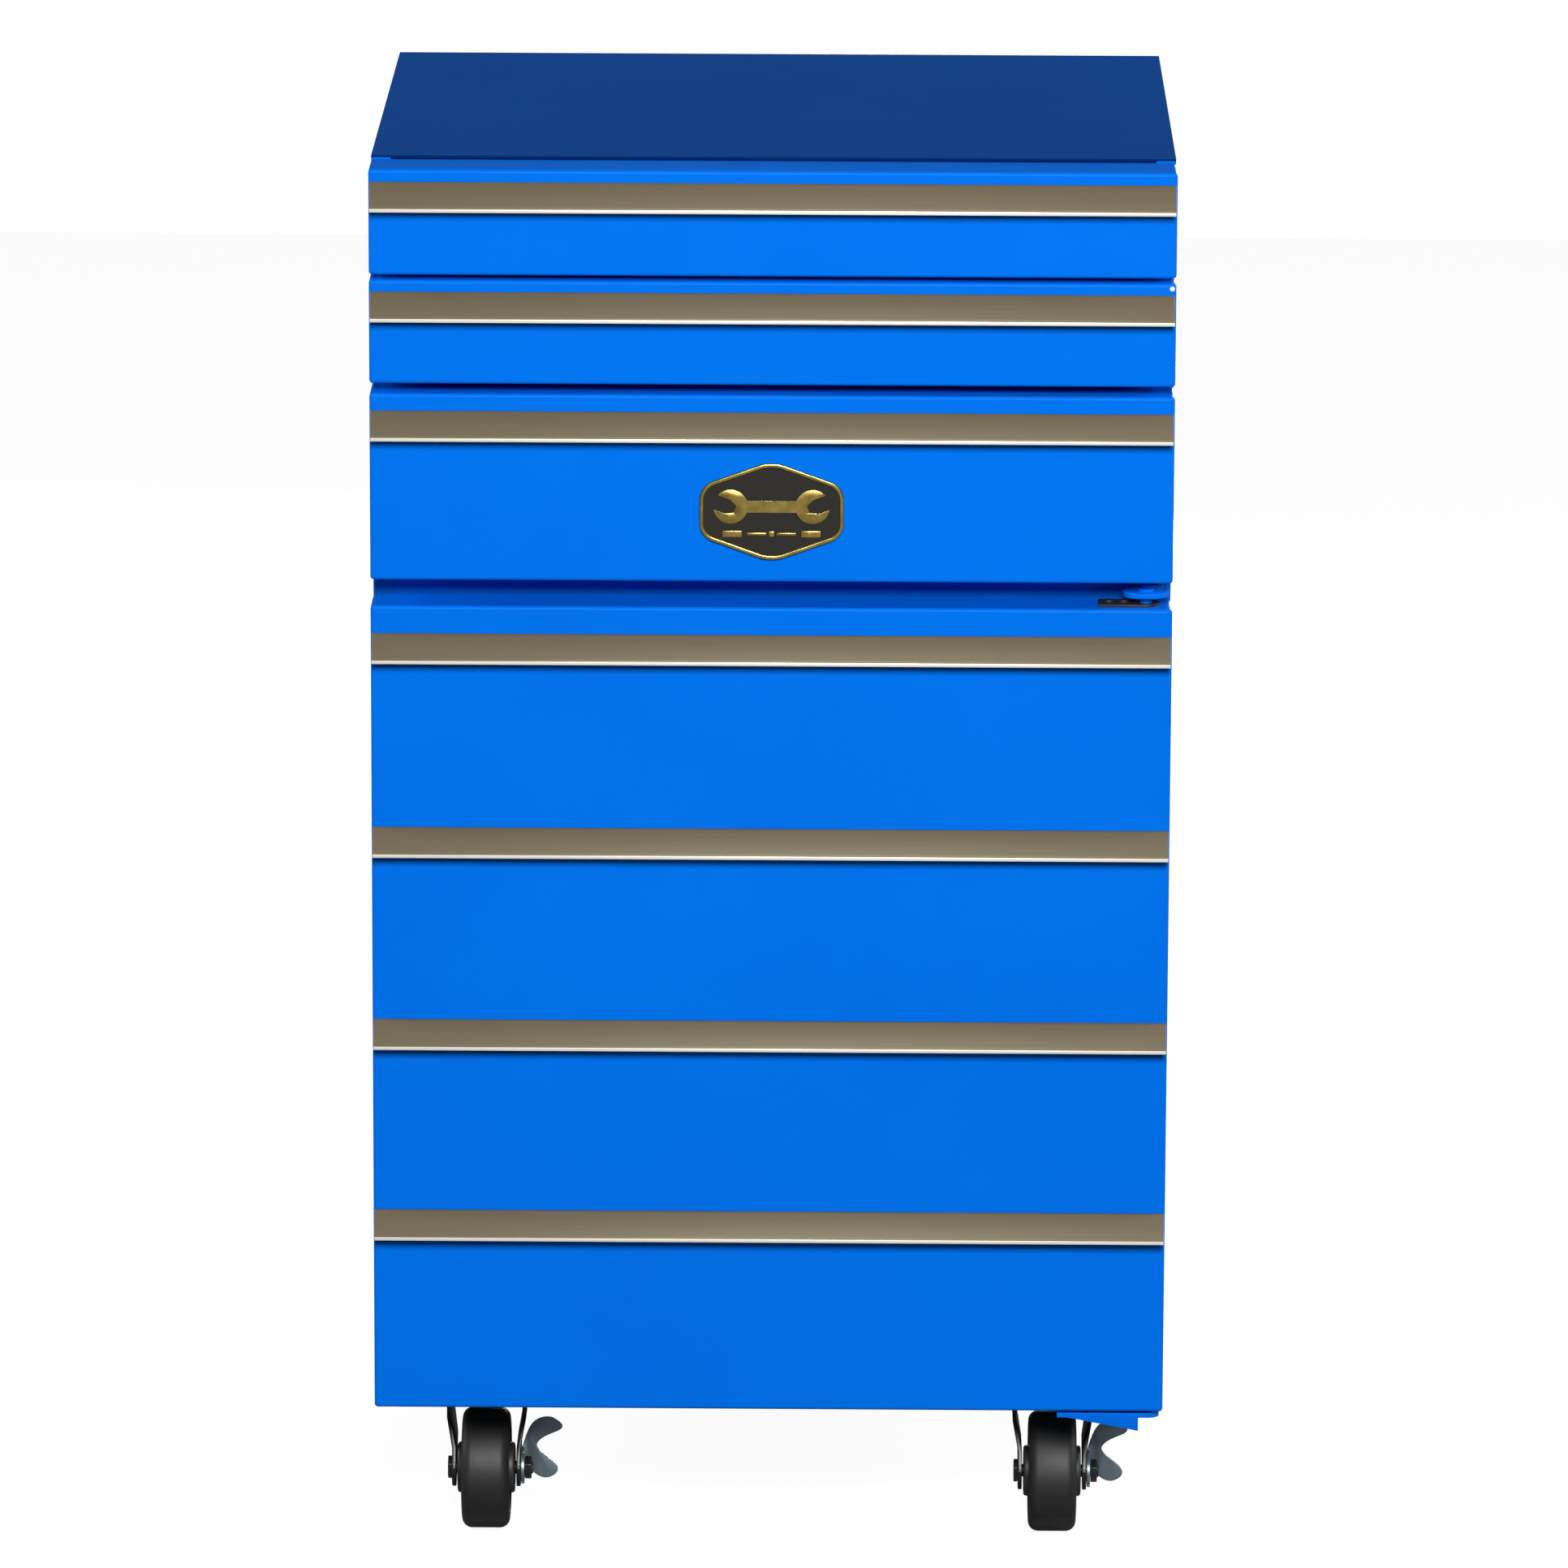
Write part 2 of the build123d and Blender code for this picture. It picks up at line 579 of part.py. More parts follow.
def thermostat_box():
    """Place of the control box: its left, front and lower faces."""
    width, _, height = THERMOSTAT
    return CELL_HALF - width, CASE_Y + THERMOSTAT_SETBACK, CELL_TOP - THERMOSTAT_DROP - height


def thermostat_housing():
    """Control box on the right wall of the cabinet, with the spindle hole of the knob."""
    width, depth, height = THERMOSTAT
    x, y, z = thermostat_box()
    box = block(x, x + width, y, y + depth, z, z + height)
    box = round_edges(box, THERMOSTAT_CORNER, lambda p: near(p.X, x))
    kx, ky, kz = knob_centre()
    return box - rod(kx, ky - 1, kz, SPINDLE_RADIUS + FIT, SPINDLE_LENGTH + 1, "Y")


def knob_centre():
    x, y, z = thermostat_box()
    return x + THERMOSTAT[0] / 2, y, z + THERMOSTAT[2] / 2


def thermostat_knob():
    """Dial with a raised grip bar and its spindle."""
    x, y, z = knob_centre()
    back = y - KNOB_GAP
    dial = rod(x, back - KNOB_DEPTH / 2, z, KNOB_RADIUS, KNOB_DEPTH / 2, "Y")
    half, reach = KNOB_GRIP / 2, KNOB_RADIUS - KNOB_GRIP / 4
    grip = block(x - half, x + half, back - KNOB_DEPTH, back - 1, z - reach, z + reach)
    return dial + grip + rod(x, back - 1, z, SPINDLE_RADIUS, SPINDLE_LENGTH - 1, "Y")


def compressor():
    """Welded shell on its foot plate with tube stubs, and the four rubber grommets under the foot."""
    radius, height = COMPRESSOR_RADIUS, COMPRESSOR_HEIGHT
    width, length, sheet = COMPRESSOR_FOOT
    y = BACK_Y - MACHINE_BAY_DEPTH / 2
    floor = BASE_Z + BASE_SHEET
    foot_z = floor + FOOT_LIFT
    low = foot_z + 2 * sheet
    shell = rod(0, y, low, radius, height)
    shell = round_edges(shell, COMPRESSOR_DOME, lambda p: near(p.Z, low + height) or near(p.Z, low))
    shell += rod(0, y, low + height / 2, radius + SHEET, 2 * sheet)
    foot = block(-width / 2, width / 2, y - length / 2, y + length / 2, foot_z, foot_z + sheet)
    foot = round_edges(foot, GROMMET_RADIUS, lambda p: near(p.Z, foot_z + sheet / 2))
    shell += foot + rod(0, y, foot_z, radius - COMPRESSOR_DOME, 4 * sheet)
    for side in (-1, 1):
        stub, reach = STUB
        shell += rod(side * radius / 3, y - radius - reach, low + radius / 2, stub, radius / 2 + reach, "Y")
    grommets = []
    for i in (-1, 1):
        for j in (-1, 1):
            x = i * (width / 2 - FOOT_HOLE_INSET)
            gy = y + j * (length / 2 - FOOT_HOLE_INSET)
            shell -= rod(x, gy, floor, GROMMET_NECK + FIT, FOOT_LIFT + 2 * sheet)
            grommet = rod(x, gy, floor, GROMMET_RADIUS, FOOT_LIFT)
            grommets.append(grommet + rod(x, gy, floor, GROMMET_NECK, FOOT_LIFT + 2 * sheet))
    return [shell, *grommets]


# Drawers


def pan_front(bottom, top, depth):
    """Folded front: face and four returns, open at the back."""
    back = FACE_Y + depth
    shell = block(-HALF, HALF, FACE_Y, back, bottom, top)
    shell = round_edges(
        shell,
        FRONT_RADIUS,
        lambda p: near(p.Y, FACE_Y) or (near(abs(p.X), HALF) and (near(p.Z, bottom) or near(p.Z, top))),
    )
    core = block(-INNER_HALF, INNER_HALF, FACE_Y + SHEET, back + 1, bottom + SHEET, top - SHEET)
    core = round_edges(core, FRONT_RADIUS - SHEET, lambda p: near(p.Y, FACE_Y + SHEET))
    return shell - core


def drawer_tray(bottom, top):
    """Backing plate of the front with the tray box folded from it, its rims hemmed."""
    plate_back = CASE_Y - FRONT_GAP
    half = INNER_HALF - DOOR_INSET
    plate = block(
        -half,
        half,
        plate_back - SHEET,
        plate_back,
        bottom + SHEET + DOOR_INSET,
        top - SHEET - DOOR_INSET,
    )
    z0, z1 = bottom + TRAY_LIFT, top - TRAY_DROP
    y1 = CASE_Y + TRAY_LENGTH
    box = block(-SLIDE_INNER, SLIDE_INNER, plate_back - SHEET, y1, z0, z1)
    box -= block(-SLIDE_INNER + SHEET, SLIDE_INNER - SHEET, plate_back, y1 - SHEET, z0 + SHEET, z1 + 1)
    for side in (-1, 1):
        x0, x1 = sorted((side * (SLIDE_INNER - 2 * SHEET), side * SLIDE_INNER))
        box += block(x0, x1, plate_back, y1, z1 - HEM, z1)
    box += block(-SLIDE_INNER, SLIDE_INNER, y1 - 2 * SHEET, y1, z1 - HEM, z1)
    return plate + box


def pull_rail(top):
    """Extruded pull: a back flange on the face and a bulged front that ends in a thick lip."""
    p, h, w = HANDLE_PROJECTION, HANDLE_HEIGHT, HANDLE_WALL
    lip, shoulder = HANDLE_LIP, HANDLE_SHOULDER
    middle = ((-shoulder - p) / 2 - HANDLE_BULGE, -(h - lip) / 2 + HANDLE_BULGE)
    inner_start = (-p + w, -(h - lip) - HANDLE_LIP_STEP)
    inner_middle = (middle[0] + w * HANDLE_WALL_LEAN, middle[1] - w * HANDLE_WALL_LEAN)
    inner_end = (-w, -w - HANDLE_ROOT)
    outer = [
        Line((0, 0), (-shoulder, 0)),
        ThreePointArc((-shoulder, 0), middle, (-p, -(h - lip))),
        Line((-p, -(h - lip)), (-p, -h)),
        Line((-p, -h), (-p + w, -h)),
        Line((-p + w, -h), inner_start),
        ThreePointArc(inner_start, inner_middle, inner_end),
        Line(inner_end, (-w, -HANDLE_FLANGE)),
        Line((-w, -HANDLE_FLANGE), (0, -HANDLE_FLANGE)),
        Line((0, -HANDLE_FLANGE), (0, 0)),
    ]
    rail = along_x(make_face(outer), -HALF + HANDLE_INSET, HALF - HANDLE_INSET)
    return Pos(0, FACE_Y, top) * rail


def c_channel(side, x_web, x_tip, z, half_height, y0, y1):
    """Slide member: a web and two flanges, open to one side."""
    web_in = x_web + math.copysign(SLIDE_SHEET, x_tip - x_web)
    xs = sorted((side * x_web, side * x_tip))
    shell = block(xs[0], xs[1], y0, y1, z - half_height, z + half_height)
    far = x_tip + math.copysign(1.0, x_tip - x_web)
    xs = sorted((side * web_in, side * far))
    inner = half_height - SLIDE_SHEET
    return shell - block(xs[0], xs[1], y0 - 1, y1 + 1, z - inner, z + inner)


def slide_members(z, kind):
    """The left and right member of one kind, at one drawer's height."""
    y0 = CASE_Y + SLIDE_SETBACK
    y1 = y0 + SLIDE_LENGTH
    outer_half = SLIDE_HEIGHT / 2
    x_web, x_tip, half, y_end = {
        "outer": (SLIDE_OUTER, SLIDE_OUTER - OUTER_REACH, outer_half, y1),
        "middle": (
            SLIDE_OUTER - MIDDLE_INSET,
            SLIDE_OUTER - MIDDLE_REACH,
            outer_half - MIDDLE_NEST,
            y1 - MIDDLE_SHORT,
        ),
        "inner": (SLIDE_INNER, SLIDE_INNER + INNER_REACH, outer_half - INNER_NEST, y1 - INNER_SHORT),
    }[kind]
    return [c_channel(side, x_web, x_tip, z, half, y0, y_end) for side in (-1, 1)]


def slide_height(span):
    return (span[0] + TRAY_LIFT + span[1] - TRAY_DROP) / 2


def slide_posts():
    """Four uprights that carry the slides, flush with the side panels' flanges."""
    posts = []
    for side in (-1, 1):
        for y0 in (CASE_Y + POST_SETBACKS[0], CASE_Y + SLIDE_LENGTH - POST_DEPTH - POST_SETBACKS[1]):
            xs = sorted((side * SLIDE_OUTER, side * (INNER_HALF - SEAM)))
            post = block(xs[0], xs[1], y0, y0 + POST_DEPTH, DECK_TOP, HEIGHT - TOP_LIP)
            xs = sorted((side * (SLIDE_OUTER + SHEET), side * HALF))
            post -= block(
                xs[0], xs[1], y0 + SHEET, y0 + POST_DEPTH - SHEET, DECK_TOP - 1, HEIGHT - TOP_LIP + 1
            )
            posts.append(post)
    return posts


def badge_outline(inset):
    """Six-sided plate with straight sides and a shallow peak above and below."""
    x, peak, side = BADGE_WIDTH / 2 - inset, BADGE_HEIGHT / 2 - inset, BADGE_SIDE / 2 - inset * BADGE_MITRE
    shape = outline([(-x, -side), (0, -peak), (x, -side), (x, side), (0, peak), (-x, side)])
    return fillet(shape.vertices(), BADGE_CORNER - inset)


def badge():
    """Black plate and the raised rim around it, on the middle of the third front."""
    bottom, top = DRAWER_SPANS[-1]
    z = (bottom + top - HANDLE_DROPS[-1] - HANDLE_HEIGHT) / 2
    rim = badge_outline(0) - badge_outline(BADGE_RIM)
    plate = badge_outline(BADGE_RIM)
    place = Pos(0, 0, z)
    return [
        place * along_y(plate, FACE_Y - BADGE_PLATE, FACE_Y),
        place * along_y(rim, FACE_Y - BADGE_RIM_DEPTH, FACE_Y),
    ]


# Door


def door_skin():
    """Folded steel front of the door, pierced for the hinge bushes."""
    skin = pan_front(DOOR_BOTTOM, DOOR_TOP, DOOR_SKIN_DEPTH)
    for z in (DOOR_BOTTOM - 1, DOOR_TOP - SHEET - 1):
        skin -= rod(PIN_X, PIN_Y, z, BUSH_RADIUS + SEAM, SHEET + 2)
    return skin


def door_foam():
    """Foam core of the door, with pockets for the bushes."""
    half = INNER_HALF - DOOR_INSET
    y0, y1 = FACE_Y + SHEET + DOOR_INSET, FACE_Y + DOOR_SKIN_DEPTH - LINER - DOOR_INSET
    z0, z1 = DOOR_BOTTOM + SHEET + DOOR_INSET, DOOR_TOP - SHEET - DOOR_INSET
    foam = block(-half, half, y0, y1, z0, z1)
    foam = round_edges(foam, FRONT_RADIUS, lambda p: near(p.Y, y0))
    pocket = PIN_ENGAGEMENT + BUSH_POCKET
    foam -= rod(PIN_X, PIN_Y, z0 - 1, BUSH_RADIUS + SEAM, pocket)
    foam -= rod(PIN_X, PIN_Y, z1 + 1 - pocket, BUSH_RADIUS + SEAM, pocket)
    return foam


def door_liner():
    """Moulded inner face of the door with the raised rib that carries the racks."""
    half = INNER_HALF - DOOR_INSET
    y1 = FACE_Y + DOOR_SKIN_DEPTH
    z0, z1 = DOOR_BOTTOM + SHEET + DOOR_INSET, DOOR_TOP - SHEET - DOOR_INSET
    liner = block(-half, half, y1 - LINER, y1, z0, z1)
    x = HALF - DYKE_INSET
    low, high = DOOR_BOTTOM + DYKE_END_INSET, DOOR_TOP - DYKE_END_INSET
    dyke = block(-x, x, y1 - LINER / 2, y1 + DYKE_DEPTH, low, high)
    dyke = round_edges(dyke, DYKE_CORNER, lambda p: p.Y > y1 and near(abs(p.X), x))
    inner_x, w = x - DYKE_WIDTH, DYKE_WIDTH
    dyke -= block(-inner_x, inner_x, y1, y1 + DYKE_DEPTH + 1, low + w, high - w)
    return liner + dyke


def door_gasket():
    """Magnetic seal: a square ring with a bead along its middle."""
    y0, y1 = FACE_Y + DOOR_SKIN_DEPTH, CASE_Y - GASKET_GAP

    def ring(inset, width, front, back):
        x = HALF - inset
        z0, z1 = DOOR_BOTTOM + inset, DOOR_TOP - inset
        return block(-x, x, front, back, z0, z1) - block(
            -x + width, x - width, front - 1, back + 1, z0 + width, z1 - width
        )

    neck, edge = GASKET_NECK, GASKET_BEAD_INSET
    foot = y0 + GASKET_FOOT
    return (
        ring(GASKET_INSET, GASKET_WIDTH, y0, foot)
        + ring(GASKET_INSET + neck, GASKET_WIDTH - 2 * neck, y0, y1)
        + ring(GASKET_INSET + edge, GASKET_WIDTH - 2 * edge, y1 - GASKET_BEAD, y1)
    )


def rack_box(n):
    """Corners of one door rack."""
    x = HALF - DYKE_INSET - DYKE_WIDTH - RACK_GAP
    y0 = FACE_Y + DOOR_SKIN_DEPTH + SEAM
    z0 = RACK_FLOORS[n]
    return -x, x, y0, y0 + RACK_DEPTH, z0, z0 + RACK_HEIGHTS[n]


def door_rack(n):
    """Moulded bottle rack between the ribs of the door liner."""
    x0, x1, y0, y1, z0, z1 = rack_box(n)
    rack = block(x0, x1, y0, y1, z0, z1)
    rack = round_edges(rack, RACK_CORNER, lambda p: near(p.Y, y1) and near(abs(p.X), x1))
    t = RACK_WALL
    core = block(x0 + t, x1 - t, y0 + t, y1 - t, z0 + t, z1 + 1)
    core = round_edges(core, RACK_CORNER - t, lambda p: near(p.Y, y1 - t) and near(abs(p.X), x1 - t))
    return rack - core


def hinge_bushes():
    """Nylon bushes of the door, the upper one with a flange plate and its two screws."""
    pieces = []
    bore = PIN_RADIUS + FIT
    for edge, turn in ((DOOR_TOP, 180), (DOOR_BOTTOM, 0)):
        place = Pos(PIN_X, PIN_Y, edge) * Rot(turn, 0, 0)
        bush = rod(0, 0, 0, BUSH_RADIUS, PIN_ENGAGEMENT + BUSH_END)
        bush += rod(0, 0, -BUSH_FLANGE, BUSH_FLANGE_RADIUS, BUSH_FLANGE)
        if edge == DOOR_TOP:
            bush += block(-BUSH_PLATE, 0, -BUSH_FLANGE_RADIUS, BUSH_FLANGE_RADIUS, -BUSH_FLANGE, 0)
            for n in (1, 2):
                x = -BUSH_FLANGE_RADIUS - n * BUSH_SCREW_PITCH + BUSH_SCREW_PITCH / 2
                pieces.append(place * rod(x, 0, -BUSH_FLANGE - BUSH_FLANGE, BUSH_SCREW_HEAD, BUSH_FLANGE))
        bush -= rod(0, 0, -BUSH_FLANGE - 1, bore, PIN_ENGAGEMENT + BUSH_FLANGE + 1 + SEAM)
        pieces.append(place * bush)
    return pieces


# Hinges


def upper_screw_places():
    """Middle of each screw in the upper hinge's leg, as (x, z)."""
    z = DOOR_TOP + UPPER_HINGE_LIFT + HINGE_PLATE + SCREW_HEAD_RADIUS + FIT
    left = HALF - HINGE_INSET - UPPER_HINGE_WIDTH
    inset = SCREW_HEAD_RADIUS + 2
    return [(left + inset, z), (left + UPPER_HINGE_WIDTH - inset, z)]


def upper_hinge():
    """Angle bracket on the front frame over the door, and its pin with a shoulder washer."""
    z0 = DOOR_TOP + UPPER_HINGE_LIFT
    right = HALF - HINGE_INSET
    left = right - UPPER_HINGE_WIDTH
    front = PIN_Y - UPPER_HINGE_NOSE
    plate = block(left, right, front, CASE_Y, z0, z0 + HINGE_PLATE)
    plate = round_edges(
        plate, UPPER_HINGE_NOSE, lambda p: near(p.Y, front) and near(p.Z, z0 + HINGE_PLATE / 2)
    )
    leg_top = DRAWER_SPANS[-1][0] - SEAM
    bracket = plate + block(left, right, CASE_Y - HINGE_PLATE, CASE_Y, z0, leg_top)
    bracket -= rod(PIN_X, PIN_Y, z0 - 1, PIN_RADIUS, HINGE_PLATE + 2)
    for x, z in upper_screw_places():
        bracket -= rod(x, CASE_Y - HINGE_PLATE - 1, z, SCREW_RADIUS + FIT, HINGE_PLATE + 2, "Y")
    low = DOOR_TOP - PIN_ENGAGEMENT
    pin = rod(PIN_X, PIN_Y, low, PIN_RADIUS, z0 + HINGE_PLATE - low)
    pin += rod(PIN_X, PIN_Y, z0 - PIN_COLLAR, BUSH_RADIUS, PIN_COLLAR)
    pin += rod(PIN_X, PIN_Y, z0 + HINGE_PLATE, PIN_RADIUS + 1, PIN_COLLAR)
    return [bracket, pin]


def lower_screw_places():
    """Middle of each screw under the base, as (x, y)."""
    width, length = LOWER_TAIL
    x = HALF - HINGE_INSET - width / 2
    return [(x, CASE_Y + share * length) for share in (0.3, 0.8)]


def lower_hinge():
    """Plate under the door and base with a folded, tapered front skirt, and its pin."""
    top = BASE_Z
    bottom = top - HINGE_PLATE
    right = HALF - HINGE_INSET
    front = FACE_Y + HINGE_SETBACK
    left = right - LOWER_PLATE_WIDTH
    plate = block(left, right, front, CASE_Y + LOWER_TAIL[1] / 6, bottom, top)
    plate = round_edges(plate, BUSH_RADIUS, lambda p: near(p.X, right) and near(p.Y, front))
    plate += block(right - LOWER_TAIL[0], right, CASE_Y, CASE_Y + LOWER_TAIL[1], bottom, top)
    width, deep, shallow = LOWER_SKIRT
    skirt = outline([(left, top), (left + width, top), (left + width, top - deep), (left, top - shallow)])
    bracket = plate + along_y(skirt, front, front + HINGE_PLATE)
    bracket -= rod(PIN_X, PIN_Y, bottom - 1, PIN_RADIUS, HINGE_PLATE + 2)
    for x, y in lower_screw_places():
        bracket -= rod(x, y, bottom - 1, SCREW_RADIUS + FIT, HINGE_PLATE + 2)
    pin_length = DOOR_BOTTOM + PIN_ENGAGEMENT - bottom + PIN_COLLAR
    pin = rod(PIN_X, PIN_Y, bottom - PIN_COLLAR, PIN_RADIUS, pin_length)
    pin += rod(PIN_X, PIN_Y, bottom - PIN_COLLAR, PIN_RADIUS + 2, PIN_COLLAR)
    return [bracket, pin]


def case_screws():
    """Pan-head screws of both hinges and of the rear cover."""
    screws = []
    for x, z in upper_screw_places():
        y = CASE_Y - HINGE_PLATE
        screw = rod(x, y - SCREW_HEAD, z, SCREW_HEAD_RADIUS, SCREW_HEAD, "Y")
        screws.append(screw + rod(x, y - 1, z, SCREW_RADIUS, HINGE_PLATE + 1, "Y"))
    bottom = BASE_Z - HINGE_PLATE
    for x, y in lower_screw_places():
        screw = rod(x, y, bottom - SCREW_HEAD, SCREW_HEAD_RADIUS, SCREW_HEAD)
        screws.append(screw + rod(x, y, bottom - 1, SCREW_RADIUS, HINGE_PLATE + BASE_SHEET + 4))
    for x, z in cover_screw_places():
        screw = rod(x, BACK_Y - SHEET, z, SCREW_HEAD_RADIUS, SHEET, "Y")
        length = 2 * SHEET + BASE_SHEET + 2
        screws.append(screw + rod(x, BACK_Y - length, z, SCREW_RADIUS, length, "Y"))
    return screws


# Casters


def kingpin_place(name):
    """Swivel axis of a caster, as (x, y)."""
    side, end = CASTERS[name]
    y = CASE_Y + FRONT_CASTER_SETBACK if end < 0 else BACK_Y - REAR_CASTER_SETBACK
    return side * (HALF - CASTER_SIDE), y


def wheel_place(name):
    """Centre of a caster's wheel, which stands towards the nearer end of the chest."""
    x, y = kingpin_place(name)
    return x, y + CASTERS[name][1] * CASTER_LEAD, WHEEL_RADIUS


def bolt_places(name):
    """Centres of the four mounting bolts of a caster."""
    x, y = kingpin_place(name)
    dx, dy = CASTER_BOLTS[0] / 2, CASTER_BOLTS[1] / 2
    return [(x + i * dx, y + j * dy) for i in (-1, 1) for j in (-1, 1)]


def crown_top():
    return BASE_Z - CROWN_TOP_DROP


def caster_plate(name):
    """Mounting plate with the swivel cup and the riveted kingpin."""
    x, y = kingpin_place(name)
    width, length, thickness = CASTER_PLATE
    under = BASE_Z - thickness
    plate = block(x - width / 2, x + width / 2, y - length / 2, y + length / 2, under, BASE_Z)
    plate = round_edges(plate, CASTER_PLATE_CORNER, lambda p: near(p.Z, BASE_Z - thickness / 2))
    for bx, by in bolt_places(name):
        plate -= rod(bx, by, under - 1, CASTER_HOLE_RADIUS, thickness + 2)
    cup_bottom = crown_top() + CROWN_GAP
    cup = Pos(x, y, cup_bottom) * Cone(
        *SWIVEL_CUP, under - cup_bottom, align=(Align.CENTER, Align.CENTER, Align.MIN)
    )
    pin_bottom = crown_top() - FORK_SHEET - KINGPIN_DROP
    pin = rod(x, y, pin_bottom, KINGPIN_RADIUS, cup_bottom - pin_bottom + 1)
    head = rod(x, y, pin_bottom, *KINGPIN_HEAD)
    return plate + cup + pin + head


def caster_bolt(x, y):
    """Bolt through the plate and base, with its nut."""
    under = BASE_Z - CASTER_PLATE[2]
    top = BASE_Z + BASE_SHEET
    bolt = hexagon(x, y, under - BOLT_HEAD, BOLT_ACROSS, BOLT_HEAD)
    bolt += hexagon(x, y, top, BOLT_ACROSS, BOLT_NUT)
    return bolt + rod(x, y, under - 1, CASTER_BOLT_RADIUS, top + BOLT_PROUD - under + 1)


def fork(name):
    """Pressed yoke: a crown and two legs that close in towards the axle, with the axle bolt and nut."""
    x, y = kingpin_place(name)
    end = CASTERS[name][1]
    top, sheet = crown_top(), FORK_SHEET
    knee, shoulder = WHEEL_RADIUS + FORK_KNEE, top - FORK_SHOULDER
    low = WHEEL_RADIUS - FORK_BOSS - 1

    def arch(half, flare, crown):
        points = [(half, low), (half, knee), (half + flare, shoulder), (half + flare, crown)]
        return outline(points + [(-px, pz) for px, pz in reversed(points)])

    bow = arch(FORK_HALF, FORK_FLARE, top) - arch(FORK_HALF - sheet, FORK_FLARE, top - sheet)
    front_view = along_y(bow, -CUTTER, CUTTER)
    chord = math.sqrt(FORK_BOSS**2 - FORK_FOOT**2)
    leg = [
        (-FORK_REACH[0], top + 1),
        (-FORK_REACH[0], shoulder),
        (CASTER_LEAD - chord, WHEEL_RADIUS - FORK_FOOT),
        (CASTER_LEAD + chord, WHEEL_RADIUS - FORK_FOOT),
        (CASTER_LEAD + FORK_BOSS, WHEEL_RADIUS + 2),
        (FORK_REACH[1], shoulder),
        (FORK_REACH[1], top + 1),
    ]
    side_face = outline([(end * py, pz) for py, pz in leg])
    side_face += Pos(end * CASTER_LEAD, WHEEL_RADIUS) * Circle(FORK_BOSS)
    yoke = front_view & along_x(side_face, -CUTTER, CUTTER)
    yoke = Pos(x, y, 0) * yoke
    yoke -= rod(x, y, top - sheet - 1, KINGPIN_RADIUS + FIT, sheet + 2)
    wx, wy, wz = wheel_place(name)
    yoke -= rod(wx - CUTTER, wy, wz, AXLE_RADIUS + FIT, 2 * CUTTER, "X")
    return yoke


def axle(name):
    """Bolt that carries the wheel, with its hexagon head and locknut."""
    x, y, z = wheel_place(name)
    lever_room = LEVER_SHEET + AXLE_NUT_GAPS[1] if name in BRAKED else AXLE_NUT_GAPS[0]
    nut = x + FORK_HALF + lever_room
    head = x - FORK_HALF - AXLE_HEAD_GAP
    bolt = rod(head - 1, y, z, AXLE_RADIUS, nut + AXLE_END - head + 1, "X")
    bolt += hexagon(head - AXLE_HEAD, y, z, AXLE_ACROSS, AXLE_HEAD, "X")
    return bolt + hexagon(nut, y, z, AXLE_ACROSS, AXLE_NUT, "X")


def wheel_core(name):
    """Moulded wheel: rim, web and a hub with its thread guards."""
    x, y, z = wheel_place(name)
    rim_outer = WHEEL_RADIUS - TYRE_THICKNESS - TYRE_SEAT
    rim_inner = rim_outer - RIM_THICKNESS
    bore = AXLE_RADIUS + FIT
    hub, web, rim = HUB_WIDTH / 2, WEB_HALF, TREAD_WIDTH / 2 - RIM_INSET
    chamfer = HUB_CHAMFER
    section = outline(
        [
            (bore, -hub),
            (HUB_RADIUS - chamfer, -hub),
            (HUB_RADIUS, -hub + chamfer),
            (HUB_RADIUS, -web),
            (rim_inner, -web),
            (rim_inner, -rim),
            (rim_outer, -rim),
            (rim_outer, rim),
            (rim_inner, rim),
            (rim_inner, web),
            (HUB_RADIUS, web),
            (HUB_RADIUS, hub - chamfer),
            (HUB_RADIUS - chamfer, hub),
            (bore, hub),
        ]
    )
    wheel = revolve(Plane.XZ * section, Axis.Z)
    return Pos(x, y, z) * Rot(0, 90, 0) * wheel


def tyre(name):
    """Rubber tread with rounded shoulders."""
    x, y, z = wheel_place(name)
    ring = Cylinder(WHEEL_RADIUS, TREAD_WIDTH) - Cylinder(WHEEL_RADIUS - TYRE_THICKNESS, TREAD_WIDTH + 2)
    ring = fillet(
        ring.edges().filter_by(GeomType.CIRCLE).filter_by(lambda e: near(e.radius, WHEEL_RADIUS)),
        TYRE_SHOULDER,
    )
    return Pos(x, y, z) * Rot(0, 90, 0) * ring


def brake_lever(name):
    """Pressed side lever: a hub on the axle bolt and a two-lobed foot tab bent outwards."""
    x, y, z = wheel_place(name)
    plate_x = FORK_HALF + LEVER_GAP
    hub_plate = Circle(LEVER_HUB) + outline([(-6, -9), (11, -9), (11, 11), (-4, 8.5)])
    hub = along_x(hub_plate - Circle(AXLE_RADIUS + FIT), plate_x, plate_x + LEVER_SHEET)
    root = (LEVER_TAB + 0.6, 2.6)
    upper_lobe = [(25.5, 20.5), (30.8, 28.1), (37.0, 30.2), (43.3, 29.0), (47.5, 24.5), (38.5, 18.6)]
    notch = [(31.4, 11.8)]
    lower_lobe = [(37.5, 4.6), (44.4, -5.0), (38.0, -9.4), (30.8, -7.2), (26.0, -2.4)]
    rim = [(plate_x, root[0]), *upper_lobe, *notch, *lower_lobe, (plate_x, root[1])]
    lobes = make_face([Spline(*rim), Line(rim[-1], rim[0])])
    tab = along_y(lobes, LEVER_TAB, LEVER_TAB + LEVER_SHEET)
    return Pos(x, y, z) * (hub + tab)


